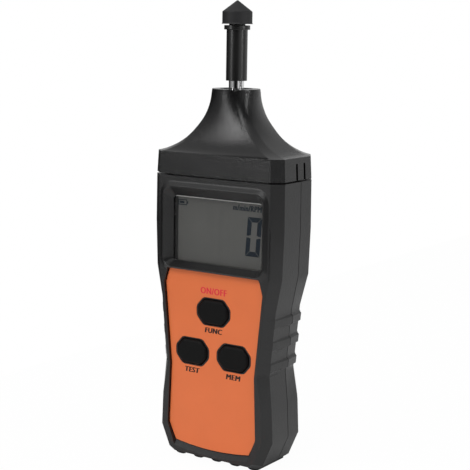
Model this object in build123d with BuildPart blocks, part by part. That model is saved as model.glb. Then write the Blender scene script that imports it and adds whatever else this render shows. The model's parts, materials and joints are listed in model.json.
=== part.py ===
from build123d import *
import math
import os

# Digital tachometer with a pull-off contact adapter, in millimetres.
# X runs across, Y from the face (-Y) to the back (+Y), Z up the spindle axis from the base pads.

# Case heights, from the base up
pad_height = 1.0
heel_z = 13.0
hip_z = 26.5
waist_z = 39.5
flank_z = 65.5
shoulder_z = 78.5
bulge_z = 97.0
seam_z = 115.7

# Case half width at the seam, and how each height swells past it or draws in from it
case_half = 30.4
bulge_swell = 0.2
shoulder_draw = 0.4
flank_draw = 3.0
waist_draw = 5.3
hip_draw = 4.0
heel_draw = 3.3
toe_draw = 7.7
base_draw = 10.4

# Height of the bevel between the sides and the base
toe_high = 1.9

# How far the back of the case draws in again at its flank and waist
back_flank_draw = 0.9
back_waist_draw = 1.1

# How far the edge chamfers draw in, at the front and at the back, and lift at the foot
seam_inset = 4.0
shoulder_inset = 3.7
flank_inset = 3.3
waist_inset = 3.5
hip_inset = 2.7
heel_inset = 2.9
toe_inset = 2.4
back_inset = 4.2
back_toe_inset = 3.3
back_base_inset = 2.2
base_lift = 1.6
toe_lift = 1.2

# Case depths: the face, the edge chamfers, and the parting line of the two covers
face_y = 15.0
front_edge_depth = 3.9
back_edge_depth = 6.6
parting_y = 0.6
parting_gap = 0.3
wall = 2.2
corner_wall = 2.8
shelf_drop = 1.2
panel_wall = 3.6
tongue_wall = 1.05
tongue_thick = 1.0
tongue_depth = 1.75
tongue_gap = 0.15

# Grip ribs on the sides
rib_count = 3
rib_pitch = 8.9
rib_drop = 4.7
rib_flat = 3.0
rib_ramp = 0.7
rib_proud = 0.95
rib_front_proud = 0.15
rib_root = 0.8

# Base pads
pad_count = 5
pad_pitch = 8.9
pad_width = 5.8
pad_foot = 1.4
pad_root = 0.8
pad_margin = 0.7

# Display surround and window, set down from the seam and in from the side
ridge_drop = 2.3
ridge_tall = 36.2
ridge_inset = 4.8
ridge_corner = 5.5
ridge_slope = 1.6
ridge_proud = 0.9
ridge_land = 0.3
window_drop = 5.8
window_tall = 26.4
window_inset = 4.45
window_corner = 1.6
window_depth = 2.8

# Face overlay and its recess: margins from the case's side, and heights from the ridge or from the base
overlay_thick = 0.5
recess_depth = 1.6
overlay_gap = 0.2
sill_drop = 2.1
top_margin = 8.8
shoulder_margin = 7.0
waist_margin = 10.2
heel_margin = 9.2
foot_margin = 12.6
overlay_tuck = 1.1
overlay_shoulder_drop = 6.0
overlay_waist_z = 39.0
overlay_heel_z = 14.1
overlay_foot_z = 7.15
overlay_bow = 1.5

# Buttons
button_drop = 15.8
button_row_drop = 17.3
key_offset = 0.15
cap_half = 7.25
cap_high = 5.0
cap_shoulder = 0.6
cap_flank = 0.34
cap_corner = 2.6
cap_proud = 1.0
cap_round = 1.2
cap_gap = 0.3
collar_wide = 0.5
cutout_gap = 0.15
flange_thick = 0.8
flange_wide = 1.0
button_travel = 0.5

# Display stack behind the window
lens_thick = 1.0
lens_land_x = 0.55
lens_land_z = 1.5
pane_rise = 0.55
pane_gap = 0.1
pane_edge = 0.3
panel_gap = 0.2
panel_thick = 2.4
panel_margin_x = 0.75
panel_land_z = 1.2
frame_wall = 0.8
frame_gap = 0.1
strip_margin = 1.9
strip_high = 2.0
strip_thick = 1.2

# Main board and what sits on it
board_thick = 1.6
board_side_gap = 1.8
board_low = 8.0
board_top_gap = 4.5
board_corner = 4.0
switch_size = 6.0
switch_high = 2.8
plunger_radius = 1.7
plunger_gap = 0.1
plunger_seat = 1.0
chip_size = 10.0
chip_high = 1.4
chip_chamfer = 0.28
chip_drop = 21.2
crystal_length = 10.0
crystal_radius = 1.5
crystal_round = 0.5
capacitor_radius = 2.2
capacitor_high = 5.0
capacitor_pitch = 10.0
header_width = 6.0
header_depth = 3.0
header_high = 4.0
link_width = 12.0

# Screws
boss_radius = 2.4
screw_radius = 1.2
screw_gap = 0.05
screw_head_radius = 2.0
screw_head_high = 1.6
screw_length = 12.0
cross_width = 0.4
cross_depth = 0.8
head_gap = 0.25
head_depth = 4.6
case_screw_inset_high = 6.2
case_screw_inset_low = 9.2
case_screw_drop = 14.7
case_screw_low_z = 17.5
board_screw_inset_high = 3.4
board_screw_inset_low = 4.0
board_screw_drop = 4.2
board_screw_low_z = 23.0
board_screw_radius = 0.9
board_screw_head = 1.7
board_screw_head_high = 0.8
board_screw_length = 4.6
notch_gap = 0.5

# Battery, its clip, leads and door
battery_width = 26.5
battery_depth = 17.0
battery_body = 46.4
battery_corner = 2.1
battery_gap = 0.4
battery_lift = 0.2
terminal_high = 2.1
terminal_radius = 3.6
terminal_pitch = 12.7
clip_thick = 3.0
clip_depth = 11.9
lead_radius = 0.7
lead_bend = 1.6
lead_rise = 9.9
bay_wall = 1.4
bay_front = 3.2
bay_floor = 3.4
door_margin = 1.95
door_headroom = 9.0
door_thick = 2.0
door_gap = 0.2
door_tongue = 1.4
door_tongue_thick = 1.0
rail_wide = 3.0
rail_thick = 1.2
grip_count = 4
grip_pitch = 2.6
grip_width = 1.2
grip_half = 6.5
grip_depth = 0.6

# Sensor unit, then the nose and the spigot that stand up inside the adapter
sensor_pitch = 9.0
sensor_radius = 2.5
sensor_dome = 2.25
sensor_flange = 2.9
sensor_flange_high = 1.0
sensor_gap = 0.05
sensor_leg = 0.3
sensor_leg_pitch = 2.54
sensor_seat = 4.0
sensor_board_margin_x = 3.0
sensor_board_margin_y = 1.2
sensor_board_thick = 1.2
holder_wall_x = 1.6
holder_wall_y = 2.5
slot_margin_x = 1.0
slot_margin_y = 0.9
nose_wall_x = 6.0
nose_wall_y = 5.6
nose_corner = 3.0
nose_high = 4.7
nose_wall = 1.6
nose_glass = 0.8
glass_land = 1.2
spigot_clear = 0.8
spigot_inset = 2.7
spigot_wall = 1.8

# Adapter shell: the skirt stands on the seam, the flare rises from it to the neck
skirt_gap = 0.7
skirt_high = 8.7
skirt_taper = 0.984
skirt_wall = 2.4
flare_high = 25.15
neck_wall = 2.95
neck_rim = 0.25
round_power = 0.8
flat_round = 0.02
crest_power = 2.0

# Levels of the flare from the neck down, and how far out it has come at each: across, and front to back
flare_levels = [
    (0.0, 0.0, 0.0), (0.12, 0.003, 0.002), (0.24, 0.018, 0.012), (0.36, 0.06, 0.032), (0.48, 0.133, 0.07),
    (0.6, 0.243, 0.13), (0.72, 0.374, 0.23), (0.82, 0.52, 0.37), (0.9, 0.678, 0.545), (0.955, 0.82, 0.72),
    (0.985, 0.925, 0.88), (1.0, 1.0, 1.0),
]
hollow_levels = [0.66, 0.74, 0.82, 0.9, 0.95, 1.0]

# Snap slots in the skirt, and the ribs that stop it on the spigot
slot_width = 1.3
slot_high = 6.4
slot_deep = 4.8
slot_front_y = -2.3
slot_back_y = 3.3
stop_margin = 5.0
stop_thick = 1.6
chamber_gap = 1.0

# Bearings, in the neck
bearing_radius = 6.5
bearing_width = 5.0
bearing_fit = 0.02
shaft_radius = 3.0
shaft_fit = 0.02
race_thick = 1.1
ball_radius = 1.0
ball_count = 7
groove_gap = 0.1
bearing_spread = 8.7
shoulder_thick = 1.3
ring_thick = 0.8

# Spindle
disc_radius = 7.6
disc_thick = 1.2
disc_drop = 4.7
mark_thick = 0.3
mark_inner = 3.0
mark_outer = 7.0
mark_angle = 60
sleeve_wall = 1.15
sleeve_gap = 3.15
sleeve_length = 19.8
collar_step = 0.95
collar_high = 1.7
tip_neck_radius = 3.2
tip_gap = 0.5
tip_seat = 4.1
tip_radius = 5.88
tip_lip = 0.22
tip_lip_high = 0.5
tip_straight = 4.6
tip_cone = 4.5
shaft_cover = 2.2

# Depths that follow from the sizes above
front_edge_y = face_y - front_edge_depth
back_edge_y = face_y - back_edge_depth
panel_y = face_y - panel_wall
recess_y = face_y - recess_depth
overlay_y = recess_y + overlay_thick
window_edge_y = face_y - window_depth
glass_y = panel_y - lens_thick - panel_gap
board_y = glass_y - panel_thick - strip_thick
board_back_y = board_y - board_thick
door_inner_y = face_y - door_thick
battery_y = door_inner_y - battery_gap - battery_depth / 2

# Half widths that follow
button_side_x = (case_half - waist_margin) / 2 - key_offset
bulge_half = case_half + bulge_swell
shoulder_half = case_half - shoulder_draw
flank_half = case_half - flank_draw
waist_half = case_half - waist_draw
hip_half = case_half - hip_draw
heel_half = case_half - heel_draw
toe_half = case_half - toe_draw
base_half = case_half - base_draw
ridge_half = case_half - ridge_inset
window_half = ridge_half - window_inset
lens_half = window_half + lens_land_x
panel_half = window_half - panel_margin_x
board_half = waist_half - wall - board_side_gap
door_half = battery_width / 2 + battery_gap + bay_wall + door_margin
rail_half = door_half + rail_wide
skirt_half = case_half
skirt_deep = face_y
skirt_edge_x = seam_inset
skirt_edges_y = (front_edge_depth, back_edge_depth)
holder_half = sensor_pitch / 2 + sensor_flange + holder_wall_x
holder_deep = sensor_flange + holder_wall_y
nose_slot_half = sensor_pitch / 2 + sensor_radius + slot_margin_x
nose_slot_deep = sensor_radius + slot_margin_y
nose_half = nose_slot_half + nose_wall_x
nose_deep = nose_slot_deep + nose_wall_y
stop_x = nose_half + stop_margin
neck_radius = bearing_radius + neck_wall
shoulder_radius = bearing_radius - shoulder_thick
spacer_radius = shaft_radius + race_thick
pitch_radius = (bearing_radius + shaft_radius) / 2
sleeve_radius = shaft_radius + sleeve_wall

# Heights that follow
base_z = pad_height
toe_z = base_z + toe_high
ridge_high = seam_z - ridge_drop
ridge_low = ridge_high - ridge_tall
window_high = ridge_high - window_drop
window_low = window_high - window_tall
overlay_top_z = ridge_low + overlay_tuck
button_top_z = overlay_top_z - button_drop
button_row_z = button_top_z - button_row_drop
board_high = seam_z - board_top_gap
chip_z = board_high - chip_drop
bay_sill = base_z + bay_floor
battery_low = bay_sill + battery_lift
battery_top = battery_low + battery_body
clip_z = battery_top + terminal_high
lead_low_z = clip_z + clip_thick
header_z = lead_low_z + lead_rise
door_high = battery_top + door_headroom
skirt_low = seam_z + skirt_gap
skirt_top = skirt_low + skirt_high
spigot_top = skirt_top - spigot_clear
nose_top = spigot_top + nose_high
neck_z = skirt_top + flare_high
upper_bearing_z = neck_z - neck_rim - ring_thick - bearing_width
lower_bearing_z = upper_bearing_z - bearing_spread
chamber_z = lower_bearing_z - chamber_gap
disc_z = lower_bearing_z - disc_drop
sleeve_low = neck_z + sleeve_gap
sleeve_high = sleeve_low + sleeve_length

overlay_right = [
    (case_half - top_margin, overlay_top_z),
    (case_half - shoulder_margin, overlay_top_z - overlay_shoulder_drop),
    (case_half - waist_margin, overlay_waist_z),
    (case_half - heel_margin, overlay_heel_z),
    (case_half - foot_margin, overlay_foot_z),
]
side_stations = [
    (case_half, seam_z), (bulge_half, bulge_z), (shoulder_half, shoulder_z), (flank_half, flank_z),
    (waist_half, waist_z), (hip_half, hip_z), (heel_half, heel_z), (toe_half, toe_z), (base_half, base_z),
]
front_face_stations = [
    (case_half - seam_inset, seam_z), (bulge_half - seam_inset, bulge_z),
    (shoulder_half - shoulder_inset, shoulder_z), (flank_half - flank_inset, flank_z),
    (waist_half - waist_inset, waist_z), (hip_half - hip_inset, hip_z), (heel_half - heel_inset, heel_z),
    (toe_half - toe_inset, toe_z + toe_lift), (base_half - toe_inset, base_z + base_lift),
]
back_stations = list(side_stations)
back_stations[3] = (flank_half - back_flank_draw, flank_z)
back_stations[4] = (waist_half - back_waist_draw, waist_z)
back_face_stations = [(half - back_inset, z) for half, z in back_stations]
back_face_stations[-2] = (toe_half - back_toe_inset, toe_z + toe_lift)
back_face_stations[-1] = (base_half - back_base_inset, base_z + base_lift)

# Edge depth, ribs' height there, edge outline and face outline of the front cover (1) and the rear one (-1)
covers = {
    1: (front_edge_y, rib_front_proud, side_stations, front_face_stations),
    -1: (back_edge_y, rib_proud, back_stations, back_face_stations),
}
button_spots = {
    "on_off": (0.0, button_top_z),
    "test": (-button_side_x, button_row_z),
    "mem": (button_side_x, button_row_z),
}
case_screw_spots = [
    (side * (case_half - inset), z) for side in (-1, 1)
    for inset, z in (
        (case_screw_inset_high, seam_z - case_screw_drop), (case_screw_inset_low, case_screw_low_z))
]
board_screw_spots = [
    (side * (board_half - inset), z) for side in (-1, 1)
    for inset, z in (
        (board_screw_inset_high, ridge_low - board_screw_drop), (board_screw_inset_low, board_screw_low_z))
]
hole_half = cap_half + cap_gap
hole_high = cap_high + cap_gap
glass_low = nose_top - nose_wall - nose_glass
spigot_inner = spigot_inset + spigot_wall
os.makedirs("parts", exist_ok=True)


def mirrored(points):
    """Close a right-hand outline with its mirror image on the left."""
    return list(points) + [(-x, z) for x, z in reversed(points)]


def half_at(stations, z):
    """Half width of an outline at a height, read between its stations."""
    for (upper, z_upper), (lower, z_lower) in zip(stations, stations[1:]):
        if z_lower <= z <= z_upper:
            return lower + (upper - lower) * (z - z_lower) / (z_upper - z_lower)
    return stations[-1][0]


def case_face(stations, inset=0.0):
    """Section of the case at one depth, drawn in evenly by an inset."""
    with BuildSketch() as face:
        with BuildLine():
            Polyline(*mirrored(stations), close=True)
        make_face()
        if inset:
            offset(amount=-inset, kind=Kind.INTERSECTION)
    return face.sketch


def cover_edge(side):
    """How far past the middle plane one cover reaches towards the other; side is 1 at the front."""
    return side * parting_y - parting_gap / 2


def rib_profile(stations, z, proud, side):
    """Cross-section of one grip rib against the case outline, on one side."""
    foot = rib_flat / 2 + rib_ramp
    levels = [(z - foot, 0.0), (z - rib_flat / 2, proud), (z + rib_flat / 2, proud), (z + foot, 0.0)]
    outer = [(side * (half_at(stations, level) + out), level) for level, out in levels]
    inner = [(side * (half_at(stations, level) - rib_root), level) for level in (z + foot, z - foot)]
    with BuildLine() as border:
        Polyline(*outer, *inner, close=True)
    make_face(border.edges())


def cover_form(side):
    """Outer form of one cover: side is 1 for the front and -1 for the back."""
    edge_y, edge_proud, edge_stations, face_stations = covers[side]
    steps = [
        (face_y, face_stations, 0.0), (edge_y, edge_stations, edge_proud),
        (-cover_edge(side), side_stations, rib_proud)]
    with BuildPart() as form:
        for (outer_y, outer, _), (inner_y, inner, _) in zip(steps, steps[1:]):
            with BuildSketch(Plane.XZ.offset(side * outer_y)):
                add(case_face(outer))
            with BuildSketch(Plane.XZ.offset(side * inner_y)):
                add(case_face(inner))
            loft(ruled=True)
        for index in range(rib_count):
            z = flank_z - rib_drop - index * rib_pitch
            for flank in (-1, 1):
                for (outer_y, outer, outer_proud), (inner_y, inner, inner_proud) in zip(steps, steps[1:]):
                    with BuildSketch(Plane.XZ.offset(side * outer_y)):
                        rib_profile(outer, z, outer_proud, flank)
                    with BuildSketch(Plane.XZ.offset(side * inner_y)):
                        rib_profile(inner, z, inner_proud, flank)
                    loft(ruled=True)
        with BuildSketch(Plane.XZ.offset(side * (edge_y - pad_margin))):
            for index in range(pad_count):
                x = (index - (pad_count - 1) / 2) * pad_pitch
                left, right = x - pad_width / 2, x + pad_width / 2
                foot_left, foot_right = x - pad_foot / 2, x + pad_foot / 2
                with BuildLine():
                    TangentArc((foot_left, 0), (left, base_z), tangent=(-1, 0))
                    Line((foot_left, 0), (foot_right, 0))
                    TangentArc((foot_right, 0), (right, base_z), tangent=(1, 0))
                    Polyline((right, base_z), (right, base_z + pad_root), (left, base_z + pad_root), (left, base_z))
                make_face()
        extrude(amount=-side * (edge_y - pad_margin + cover_edge(side)))
    return form.part


def cover_hollow(side):
    """Space inside one cover, from its panel to past the parting line."""
    edge_y, _, edge_stations, face_stations = covers[side]
    share = (panel_y - edge_y) / (face_y - edge_y)
    panel_stations = [
        (half + (face_half - half) * share, z + (face_z - z) * share)
        for (half, z), (face_half, face_z) in zip(edge_stations, face_stations)
    ]
    shelf_y = min(edge_y, panel_y - shelf_drop)
    with BuildPart() as hollow:
        with BuildSketch(Plane.XZ.offset(side * panel_y)):
            add(case_face(panel_stations, corner_wall))
        with BuildSketch(Plane.XZ.offset(side * shelf_y)):
            add(case_face(edge_stations, wall))
        loft(ruled=True)
        with BuildSketch(Plane.XZ.offset(side * shelf_y)):
            add(case_face(edge_stations, wall))
        with BuildSketch(Plane.XZ.offset(-side * cover_edge(side))):
            add(case_face(side_stations, wall))
        loft(ruled=True)
        with BuildSketch(Plane.XZ.offset(-side * cover_edge(side))):
            add(case_face(side_stations, wall))
        extrude(amount=-side * tongue_depth)
    return hollow.part


def collar_points(z, inset=0.0):
    """Half sizes, corner cuts and roundness of the adapter's section at a height, drawn in by an inset."""
    rise = min(max((neck_z - z) / flare_high, 0.0), 1.0)
    for (level, across, deep), (next_level, next_across, next_deep) in zip(flare_levels, flare_levels[1:]):
        if level <= rise <= next_level:
            share = (rise - level) / (next_level - level)
            spread_x = across + (next_across - across) * share
            spread_y = deep + (next_deep - deep) * share
    roundness = flat_round + (1 - flat_round) * (1 - rise) ** round_power
    half = neck_radius + spread_x * (skirt_half * skirt_taper - neck_radius) - inset
    deep = neck_radius + spread_y * (skirt_deep * skirt_taper - neck_radius) - inset
    cut = skirt_taper * rise**crest_power
    return half, deep, skirt_edge_x * cut, [edge * cut for edge in skirt_edges_y], roundness


def collar_outline(half, deep, cut_x, cuts_y, roundness):
    """Eight-sided section whose sides bulge towards a circle as the roundness nears one."""
    sag = 1 - math.cos(math.radians(30))
    span = 1 - math.sin(math.radians(30))
    corner = 1 - math.cos(math.radians(45))
    round_r = min(half, deep)
    side_x = half - sag * round_r * roundness
    end_x = half - cut_x * (1 - roundness) - span * round_r * roundness
    end_y = deep - sag * round_r * roundness
    mid_x = (half - corner * round_r) * roundness + (half - cut_x / 2) * (1 - roundness)
    front_y, back_y = [deep - cut_y * (1 - roundness) - span * round_r * roundness for cut_y in cuts_y]
    with BuildLine() as border:
        for sx, sy, side_y, cut_y in (
            (1, 1, back_y, cuts_y[1]), (-1, 1, back_y, cuts_y[1]),
            (-1, -1, front_y, cuts_y[0]), (1, -1, front_y, cuts_y[0]),
        ):
            mid_y = (deep - corner * round_r) * roundness + (deep - cut_y / 2) * (1 - roundness)
            first, last = (side_x, side_y), (end_x, end_y)
            if sx * sy < 0:
                first, last = last, first
            ThreePointArc(
                (sx * first[0], sy * first[1]), (sx * mid_x, sy * mid_y), (sx * last[0], sy * last[1]))
        ThreePointArc((end_x, end_y), (0, deep), (-end_x, end_y))
        ThreePointArc((-side_x, back_y), (-half, (back_y - front_y) / 2), (-side_x, -front_y))
        ThreePointArc((-end_x, -end_y), (0, -deep), (end_x, -end_y))
        ThreePointArc((side_x, -front_y), (half, (back_y - front_y) / 2), (side_x, back_y))
    make_face(border.edges())


def skirt_outline(scale, inset=0.0):
    """Section of the adapter's skirt at a scale of its lower rim, drawn in by an inset."""
    collar_outline(
        skirt_half * scale - inset, skirt_deep * scale - inset,
        skirt_edge_x * scale, [edge * scale for edge in skirt_edges_y], flat_round)


def button_face(half, high):
    """Oblong octagon of a button: its shoulders narrow the ends and its flanks shorten the sides."""
    with BuildSketch() as face:
        with BuildLine():
            Polyline(*mirrored([
                (half * cap_shoulder, high), (half, high * cap_flank),
                (half, -high * cap_flank), (half * cap_shoulder, -high)]), close=True)
        make_face()
        fillet(face.vertices(), radius=cap_corner)
    return face.sketch


def overlay_outline(grow=0.0, drop=0.0):
    """Outline of the face overlay, grown at its sides and top and dropped at its foot."""
    right = [(x + grow, z) for x, z in overlay_right]
    top_x, top_z = right[0]
    foot_x, foot_z = right[-1]
    right[0] = (top_x, top_z + grow)
    right[-1] = (foot_x - grow / 2, foot_z - grow - drop)
    foot_x, foot_z = right[-1]
    with BuildLine() as border:
        Polyline(*reversed(right), *[(-x, z) for x, z in right])
        ThreePointArc((-foot_x, foot_z), (0, foot_z - overlay_bow), (foot_x, foot_z))
    make_face(border.edges())


cap_face = button_face(cap_half, cap_high)
hole_face = button_face(hole_half, hole_high)
collar_face = button_face(hole_half + collar_wide, hole_high + collar_wide / 2)
cutout_face = button_face(hole_half + collar_wide + cutout_gap, hole_high + collar_wide / 2 + cutout_gap)
flange_face = button_face(hole_half + flange_wide, hole_high + flange_wide)
front_form = cover_form(1)
back_form = cover_form(-1)
front_hollow = cover_hollow(1)
back_hollow = cover_hollow(-1)


def spigot_half(side, inset, low, high, near):
    """The spigot's section, from a height up to another, on one side and up to a depth past the middle."""
    with BuildPart() as half:
        with BuildSketch(Plane.XY.offset(low)):
            skirt_outline(1.0, inset)
            with Locations((0, side * (near - skirt_deep) / 2)):
                Rectangle(2 * skirt_half, near + skirt_deep, mode=Mode.INTERSECT)
        extrude(amount=high - low)
    return half.part


def nose_half_block(side, inset, low, high, near):
    """The nose's section, from a height up to another, on one side and up to a depth past the middle."""
    with BuildPart() as half:
        with BuildSketch(Plane.XY.offset(low)):
            RectangleRounded(2 * (nose_half - inset), 2 * (nose_deep - inset), nose_corner - inset)
            with Locations((0, side * (near - skirt_deep) / 2)):
                Rectangle(2 * skirt_half, near + skirt_deep, mode=Mode.INTERSECT)
        extrude(amount=high - low)
    return half.part


# Front cover: face, display surround, overlay recess, button collars and the front half of the nose
with BuildPart() as front_cover:
    add(front_form)
    with BuildSketch(Plane.XZ.offset(face_y)):
        with Locations((0, (ridge_low + ridge_high) / 2)):
            RectangleRounded(2 * ridge_half, ridge_high - ridge_low, ridge_corner)
    with BuildSketch(Plane.XZ.offset(face_y + ridge_proud)):
        with Locations((0, (ridge_low + ridge_high) / 2)):
            RectangleRounded(
                2 * (ridge_half - ridge_slope), ridge_high - ridge_low - 2 * ridge_slope,
                ridge_corner - ridge_slope)
    loft(ruled=True)
    add(spigot_half(1, spigot_inset, seam_z, spigot_top, cover_edge(1)))
    add(nose_half_block(1, 0, spigot_top, nose_top, cover_edge(1)))
    add(front_hollow, mode=Mode.SUBTRACT)

    # Funnel from the ridge down to the window, and the window's straight edge
    funnel_inset = ridge_slope + ridge_land
    with BuildSketch(Plane.XZ.offset(face_y + ridge_proud)):
        with Locations((0, (ridge_low + ridge_high) / 2)):
            RectangleRounded(
                2 * (ridge_half - funnel_inset), ridge_high - ridge_low - 2 * funnel_inset,
                ridge_corner - funnel_inset)
    with BuildSketch(Plane.XZ.offset(window_edge_y)):
        with Locations((0, (window_low + window_high) / 2)):
            RectangleRounded(2 * window_half, window_high - window_low, window_corner)
    loft(ruled=True, mode=Mode.SUBTRACT)
    with BuildSketch(Plane.XZ.offset(window_edge_y)):
        with Locations((0, (window_low + window_high) / 2)):
            RectangleRounded(2 * window_half, window_high - window_low, window_corner)
    extrude(amount=-(window_edge_y - panel_y), mode=Mode.SUBTRACT)

    # Recess for the overlay, with its sloping sill at the foot
    with BuildSketch(Plane.XZ.offset(recess_y)):
        overlay_outline(overlay_gap)
    with BuildSketch(Plane.XZ.offset(face_y + ridge_proud)):
        overlay_outline(overlay_gap, sill_drop * (face_y + ridge_proud - recess_y) / (face_y - recess_y))
    loft(ruled=True, mode=Mode.SUBTRACT)

    # Collars that frame the buttons, and their holes
    with BuildSketch(Plane.XZ.offset(recess_y)):
        with Locations(*button_spots.values()):
            add(collar_face)
    extrude(amount=overlay_thick)
    with BuildSketch(Plane.XZ.offset(overlay_y)):
        with Locations(*button_spots.values()):
            add(hole_face)
    extrude(amount=-(overlay_y - panel_y), mode=Mode.SUBTRACT)

    # Groove that takes the back cover's tongue
    with BuildSketch(Plane.XZ.offset(-parting_y + parting_gap / 2)):
        add(case_face(side_stations, tongue_wall))
        add(case_face(side_stations, wall), mode=Mode.SUBTRACT)
    extrude(amount=tongue_depth, mode=Mode.SUBTRACT)

    # Bosses for the case screws and for the board screws
    with BuildSketch(Plane.XZ.offset(panel_y)):
        with Locations(*case_screw_spots):
            Circle(boss_radius)
    extrude(amount=-(panel_y + parting_y))
    with BuildSketch(Plane.XZ.offset(panel_y)):
        with Locations(*board_screw_spots):
            Circle(boss_radius)
    extrude(amount=-(panel_y - board_y))
    with BuildSketch(Plane.XZ.offset(-parting_y)):
        with Locations(*case_screw_spots):
            Circle(screw_radius + screw_gap)
    extrude(amount=screw_length / 2, mode=Mode.SUBTRACT)
    with BuildSketch(Plane.XZ.offset(board_y)):
        with Locations(*board_screw_spots):
            Circle(board_screw_radius + screw_gap)
    extrude(amount=board_screw_length - board_thick + screw_gap, mode=Mode.SUBTRACT)

    # Inside of the spigot and of the nose
    add(
        spigot_half(1, spigot_inner, seam_z - wall, spigot_top - spigot_wall, skirt_deep),
        mode=Mode.SUBTRACT)
    add(
        nose_half_block(1, nose_wall, spigot_top - spigot_wall, glass_low, nose_deep),
        mode=Mode.SUBTRACT)
    with BuildSketch(Plane.XY.offset(glass_low)):
        Rectangle(2 * (nose_slot_half + glass_land), 2 * (nose_slot_deep + glass_land))
    extrude(amount=nose_glass, mode=Mode.SUBTRACT)
    with BuildSketch(Plane.XY.offset(glass_low)):
        Rectangle(2 * nose_slot_half, 2 * nose_slot_deep)
    extrude(amount=nose_top - glass_low, mode=Mode.SUBTRACT)
front_cover.part.label = "front_cover"
export_step(front_cover.part, "parts/front_cover.step")

# Rear cover: back panel with the battery door's opening and rails, and the rear half of the nose
groove_high = door_tongue_thick + 2 * door_gap
with BuildPart() as rear_cover:
    add(back_form)
    add(spigot_half(-1, spigot_inset, seam_z, spigot_top, cover_edge(-1)))
    add(nose_half_block(-1, 0, spigot_top, nose_top, cover_edge(-1)))
    add(back_hollow, mode=Mode.SUBTRACT)

    # Tongue along the parting line
    with BuildSketch(Plane.XZ.offset(-parting_y - parting_gap / 2)):
        add(case_face(side_stations, tongue_wall + tongue_gap))
        add(case_face(side_stations, tongue_wall + tongue_gap + tongue_thick), mode=Mode.SUBTRACT)
    extrude(amount=parting_gap + tongue_depth - tongue_gap)

    # Rails inside the panel, then the opening and the grooves for the door
    rail_low = base_z + base_lift
    rail_top = door_high + rail_half - door_half
    with BuildSketch(Plane.XZ.offset(-panel_y)):
        with Locations((0, (rail_low + rail_top) / 2)):
            Rectangle(2 * rail_half, rail_top - rail_low)
        with Locations((0, (rail_low + door_high) / 2)):
            Rectangle(2 * (door_half - rail_thick), door_high - rail_low, mode=Mode.SUBTRACT)
    extrude(amount=-(door_inner_y - panel_y))
    with BuildSketch(Plane.XZ.offset(-panel_y)):
        with Locations((0, (bay_sill + door_high - rail_thick) / 2)):
            Rectangle(2 * (door_half - rail_thick), door_high - rail_thick - bay_sill)
    extrude(amount=-(face_y - panel_y), mode=Mode.SUBTRACT)
    with BuildSketch(Plane.XZ.offset(-door_inner_y + door_gap)):
        with Locations((0, (door_high + door_gap) / 2)):
            Rectangle(2 * (door_half + door_gap), door_high + door_gap)
    extrude(amount=-(face_y - door_inner_y + door_gap), mode=Mode.SUBTRACT)
    with BuildSketch(Plane.XZ.offset(-door_inner_y + door_gap)):
        with Locations((0, (door_high + door_gap) / 2)):
            Rectangle(2 * (door_half + door_tongue + door_gap), door_high + door_gap)
    extrude(amount=-groove_high, mode=Mode.SUBTRACT)

    # Screw bosses with sunk heads
    with BuildSketch(Plane.XZ.offset(-panel_y)):
        with Locations(*case_screw_spots):
            Circle(boss_radius)
    extrude(amount=panel_y - parting_y)
    with BuildSketch(Plane.XZ.offset(-face_y)):
        with Locations(*case_screw_spots):
            Circle(screw_head_radius + head_gap)
    extrude(amount=head_depth, mode=Mode.SUBTRACT)
    with BuildSketch(Plane.XZ.offset(-face_y)):
        with Locations(*case_screw_spots):
            Circle(screw_radius + screw_gap)
    extrude(amount=face_y - parting_y, mode=Mode.SUBTRACT)

    # Walls that hold the battery sideways
    bay_x = battery_width / 2 + battery_gap + bay_wall / 2
    bay_low = base_z + wall + overlay_gap
    with BuildSketch(Plane.XZ.offset(-panel_y - rail_thick / 2)):
        with Locations((-bay_x, (bay_low + door_high) / 2), (bay_x, (bay_low + door_high) / 2)):
            Rectangle(bay_wall, door_high - bay_low)
    extrude(amount=panel_y + rail_thick / 2 + bay_front)

    # Inside of the spigot and of the nose
    add(
        spigot_half(-1, spigot_inner, seam_z - wall, spigot_top - spigot_wall, skirt_deep),
        mode=Mode.SUBTRACT)
    add(
        nose_half_block(-1, nose_wall, spigot_top - spigot_wall, glass_low, nose_deep),
        mode=Mode.SUBTRACT)
    with BuildSketch(Plane.XY.offset(glass_low)):
        Rectangle(2 * (nose_slot_half + glass_land), 2 * (nose_slot_deep + glass_land))
    extrude(amount=nose_glass, mode=Mode.SUBTRACT)
    with BuildSketch(Plane.XY.offset(glass_low)):
        Rectangle(2 * nose_slot_half, 2 * nose_slot_deep)
    extrude(amount=nose_top - glass_low, mode=Mode.SUBTRACT)
rear_cover.part.label = "rear_cover"
export_step(rear_cover.part, "parts/rear_cover.step")

# Face overlay: a coloured sheet in the recess, cut out round the button collars
with BuildPart() as face_overlay:
    with BuildSketch(Plane.XZ.offset(recess_y)):
        overlay_outline()
        with Locations(*button_spots.values()):
            add(cutout_face, mode=Mode.SUBTRACT)
    extrude(amount=overlay_thick)
face_overlay.part.label = "face_overlay"
export_step(face_overlay.part, "parts/face_overlay.step")

# Display window, glued behind the panel, with a raised pane that fills the opening
lens_low = window_low - lens_land_z
lens_high = window_high + lens_land_z
with BuildPart() as lcd_window:
    with BuildSketch(Plane.XZ.offset(panel_y)):
        with Locations((0, (window_low + window_high) / 2)):
            RectangleRounded(
                2 * (window_half - pane_gap), window_high - window_low - 2 * pane_gap, window_corner - pane_gap)
    extrude(amount=pane_rise)
    chamfer(lcd_window.faces().sort_by(Axis.Y)[0].edges(), pane_edge)
    with BuildSketch(Plane.XZ.offset(panel_y)):
        with Locations((0, (lens_low + lens_high) / 2)):
            RectangleRounded(2 * lens_half, lens_high - lens_low, window_corner)
    extrude(amount=-lens_thick)
lcd_window.part.label = "lcd_window"
export_step(lcd_window.part, "parts/lcd_window.step")

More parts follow.
